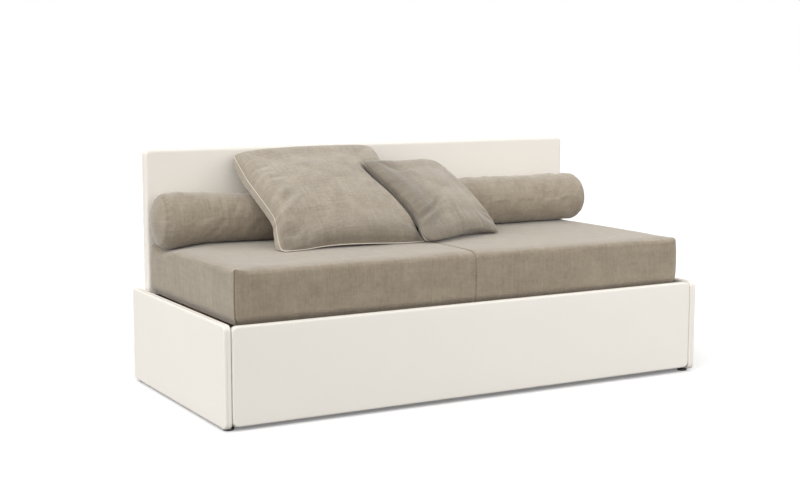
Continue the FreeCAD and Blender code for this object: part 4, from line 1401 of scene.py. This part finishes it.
class SOFABED_OT_frame_finishes(bpy.types.Operator):
    """Finish the rails, slats, brackets, bolts, castors, boards and feet"""
    bl_idname = "sofabed.frame_finishes"
    bl_label = "Frame finishes"

    def execute(self, context):
        tones = context.scene.sofa_finish
        finishes = {
            "steel": painted_steel("painted_steel", tones.steel),
            "beech": lacquered_beech("lacquered_beech", tones.beech, tones.beech_grain),
            "zinc": zinc_plate("zinc_plate", tones.zinc),
            "plastic": moulded_plastic("moulded_plastic", tones.plastic),
            "board": pressed_board("pressed_board", tones.board),
        }
        for node, piece in frame["nodes"].items():
            chosen = finish_of(node)
            if chosen:
                piece.data.materials.clear()
                piece.data.materials.append(finishes[chosen])
        return {"FINISHED"}


class SOFABED_OT_panels(bpy.types.Operator):
    """Upholster the end panels, the front panel and the back panel"""
    bl_idname = "sofabed.panels"
    bl_label = "Panels"

    def execute(self, context):
        tones = context.scene.sofa_finish
        material = smooth_cover("fine_cream_weave", tones.cream, tones.cream_shade)
        for node, body, across in PANELS:
            panel_cover(node, body, across, context.scene.sofa_form, material)
        return {"FINISHED"}


class SOFABED_OT_mattress(bpy.types.Operator):
    """Make the main mattress with its sewn corners and middle seam"""
    bl_idname = "sofabed.mattress"
    bl_label = "Mattress"

    def execute(self, context):
        tones = context.scene.sofa_finish
        main_mattress(context.scene.sofa_form, slub_weave("taupe_slub_weave", tones.taupe, tones.taupe_shade))
        return {"FINISHED"}


class SOFABED_OT_second_mattress(bpy.types.Operator):
    """Make the taped mattress of the pull-out bed"""
    bl_idname = "sofabed.second_mattress"
    bl_label = "Second mattress"

    def execute(self, context):
        tones = context.scene.sofa_finish
        second_mattress(striped_ticking("striped_ticking", tones.ticking, tones.ticking_stripe),
                        twisted_cord("edge_tape", tones.ticking))
        return {"FINISHED"}


class SOFABED_OT_bolsters(bpy.types.Operator):
    """Make the left and right bolsters"""
    bl_idname = "sofabed.bolsters"
    bl_label = "Bolsters"

    def execute(self, context):
        tones = context.scene.sofa_finish
        material = slub_weave("bolster_slub_weave", tones.bolster, tones.bolster_shade)
        for side, seed, drag_depth in BOLSTERS:
            bolster(side, seed, drag_depth, context.scene.sofa_form, material)
        return {"FINISHED"}


class SOFABED_OT_cushions(bpy.types.Operator):
    """Fill the large and the small piped cushion"""
    bl_idname = "sofabed.cushions"
    bl_label = "Cushions"

    def execute(self, context):
        form = context.scene.sofa_form
        tones = context.scene.sofa_finish
        weave = slub_weave("cushion_slub_weave", tones.cushion, tones.cushion_shade, on_cloth=True)
        cord = twisted_cord("cream_piping", tones.piping)
        stance = stance_of(form.small_centre, form.small_turn, form.small_lean)
        small = fill_cushion("small_cushion", small_cut(form), stance, form, weave, cord)
        stance = stance_of(form.large_centre, 0, form.large_lean)
        fill_cushion("large_cushion", large_cut(form), stance, form, weave, cord, leaning=small)
        return {"FINISHED"}


class SOFABED_PT_panel(bpy.types.Panel):
    """The sofa bed's sizes, colours and steps"""
    bl_idname = "SOFABED_PT_panel"
    bl_label = "Sofa bed"
    bl_space_type = "VIEW_3D"
    bl_region_type = "UI"
    bl_category = "Sofa bed"

    def draw(self, context):
        for step in STEPS:
            self.layout.operator(step.bl_idname)
        for group in (context.scene.sofa_form, context.scene.sofa_finish, context.scene.sofa_stage):
            box = self.layout.box()
            for name in group.bl_rna.properties.keys():
                if name not in ("rna_type", "name"):
                    box.prop(group, name)


STEPS = (
    SOFABED_OT_stage,
    SOFABED_OT_frame_finishes,
    SOFABED_OT_panels,
    SOFABED_OT_mattress,
    SOFABED_OT_second_mattress,
    SOFABED_OT_bolsters,
    SOFABED_OT_cushions,
)
GROUPS = (SofaForm, SofaFinish, SofaStage)


def register():
    for kind in GROUPS + STEPS + (SOFABED_PT_panel,):
        bpy.utils.register_class(kind)
    bpy.types.Scene.sofa_form = PointerProperty(type=SofaForm)
    bpy.types.Scene.sofa_finish = PointerProperty(type=SofaFinish)
    bpy.types.Scene.sofa_stage = PointerProperty(type=SofaStage)


def unregister():
    del bpy.types.Scene.sofa_form
    del bpy.types.Scene.sofa_finish
    del bpy.types.Scene.sofa_stage
    for kind in reversed(GROUPS + STEPS + (SOFABED_PT_panel,)):
        bpy.utils.unregister_class(kind)


def main():
    register()
    bpy.ops.sofabed.stage()
    bpy.ops.sofabed.frame_finishes()
    bpy.ops.sofabed.panels()
    bpy.ops.sofabed.mattress()
    bpy.ops.sofabed.second_mattress()
    bpy.ops.sofabed.bolsters()
    bpy.ops.sofabed.cushions()


if __name__ == "__main__":
    main()
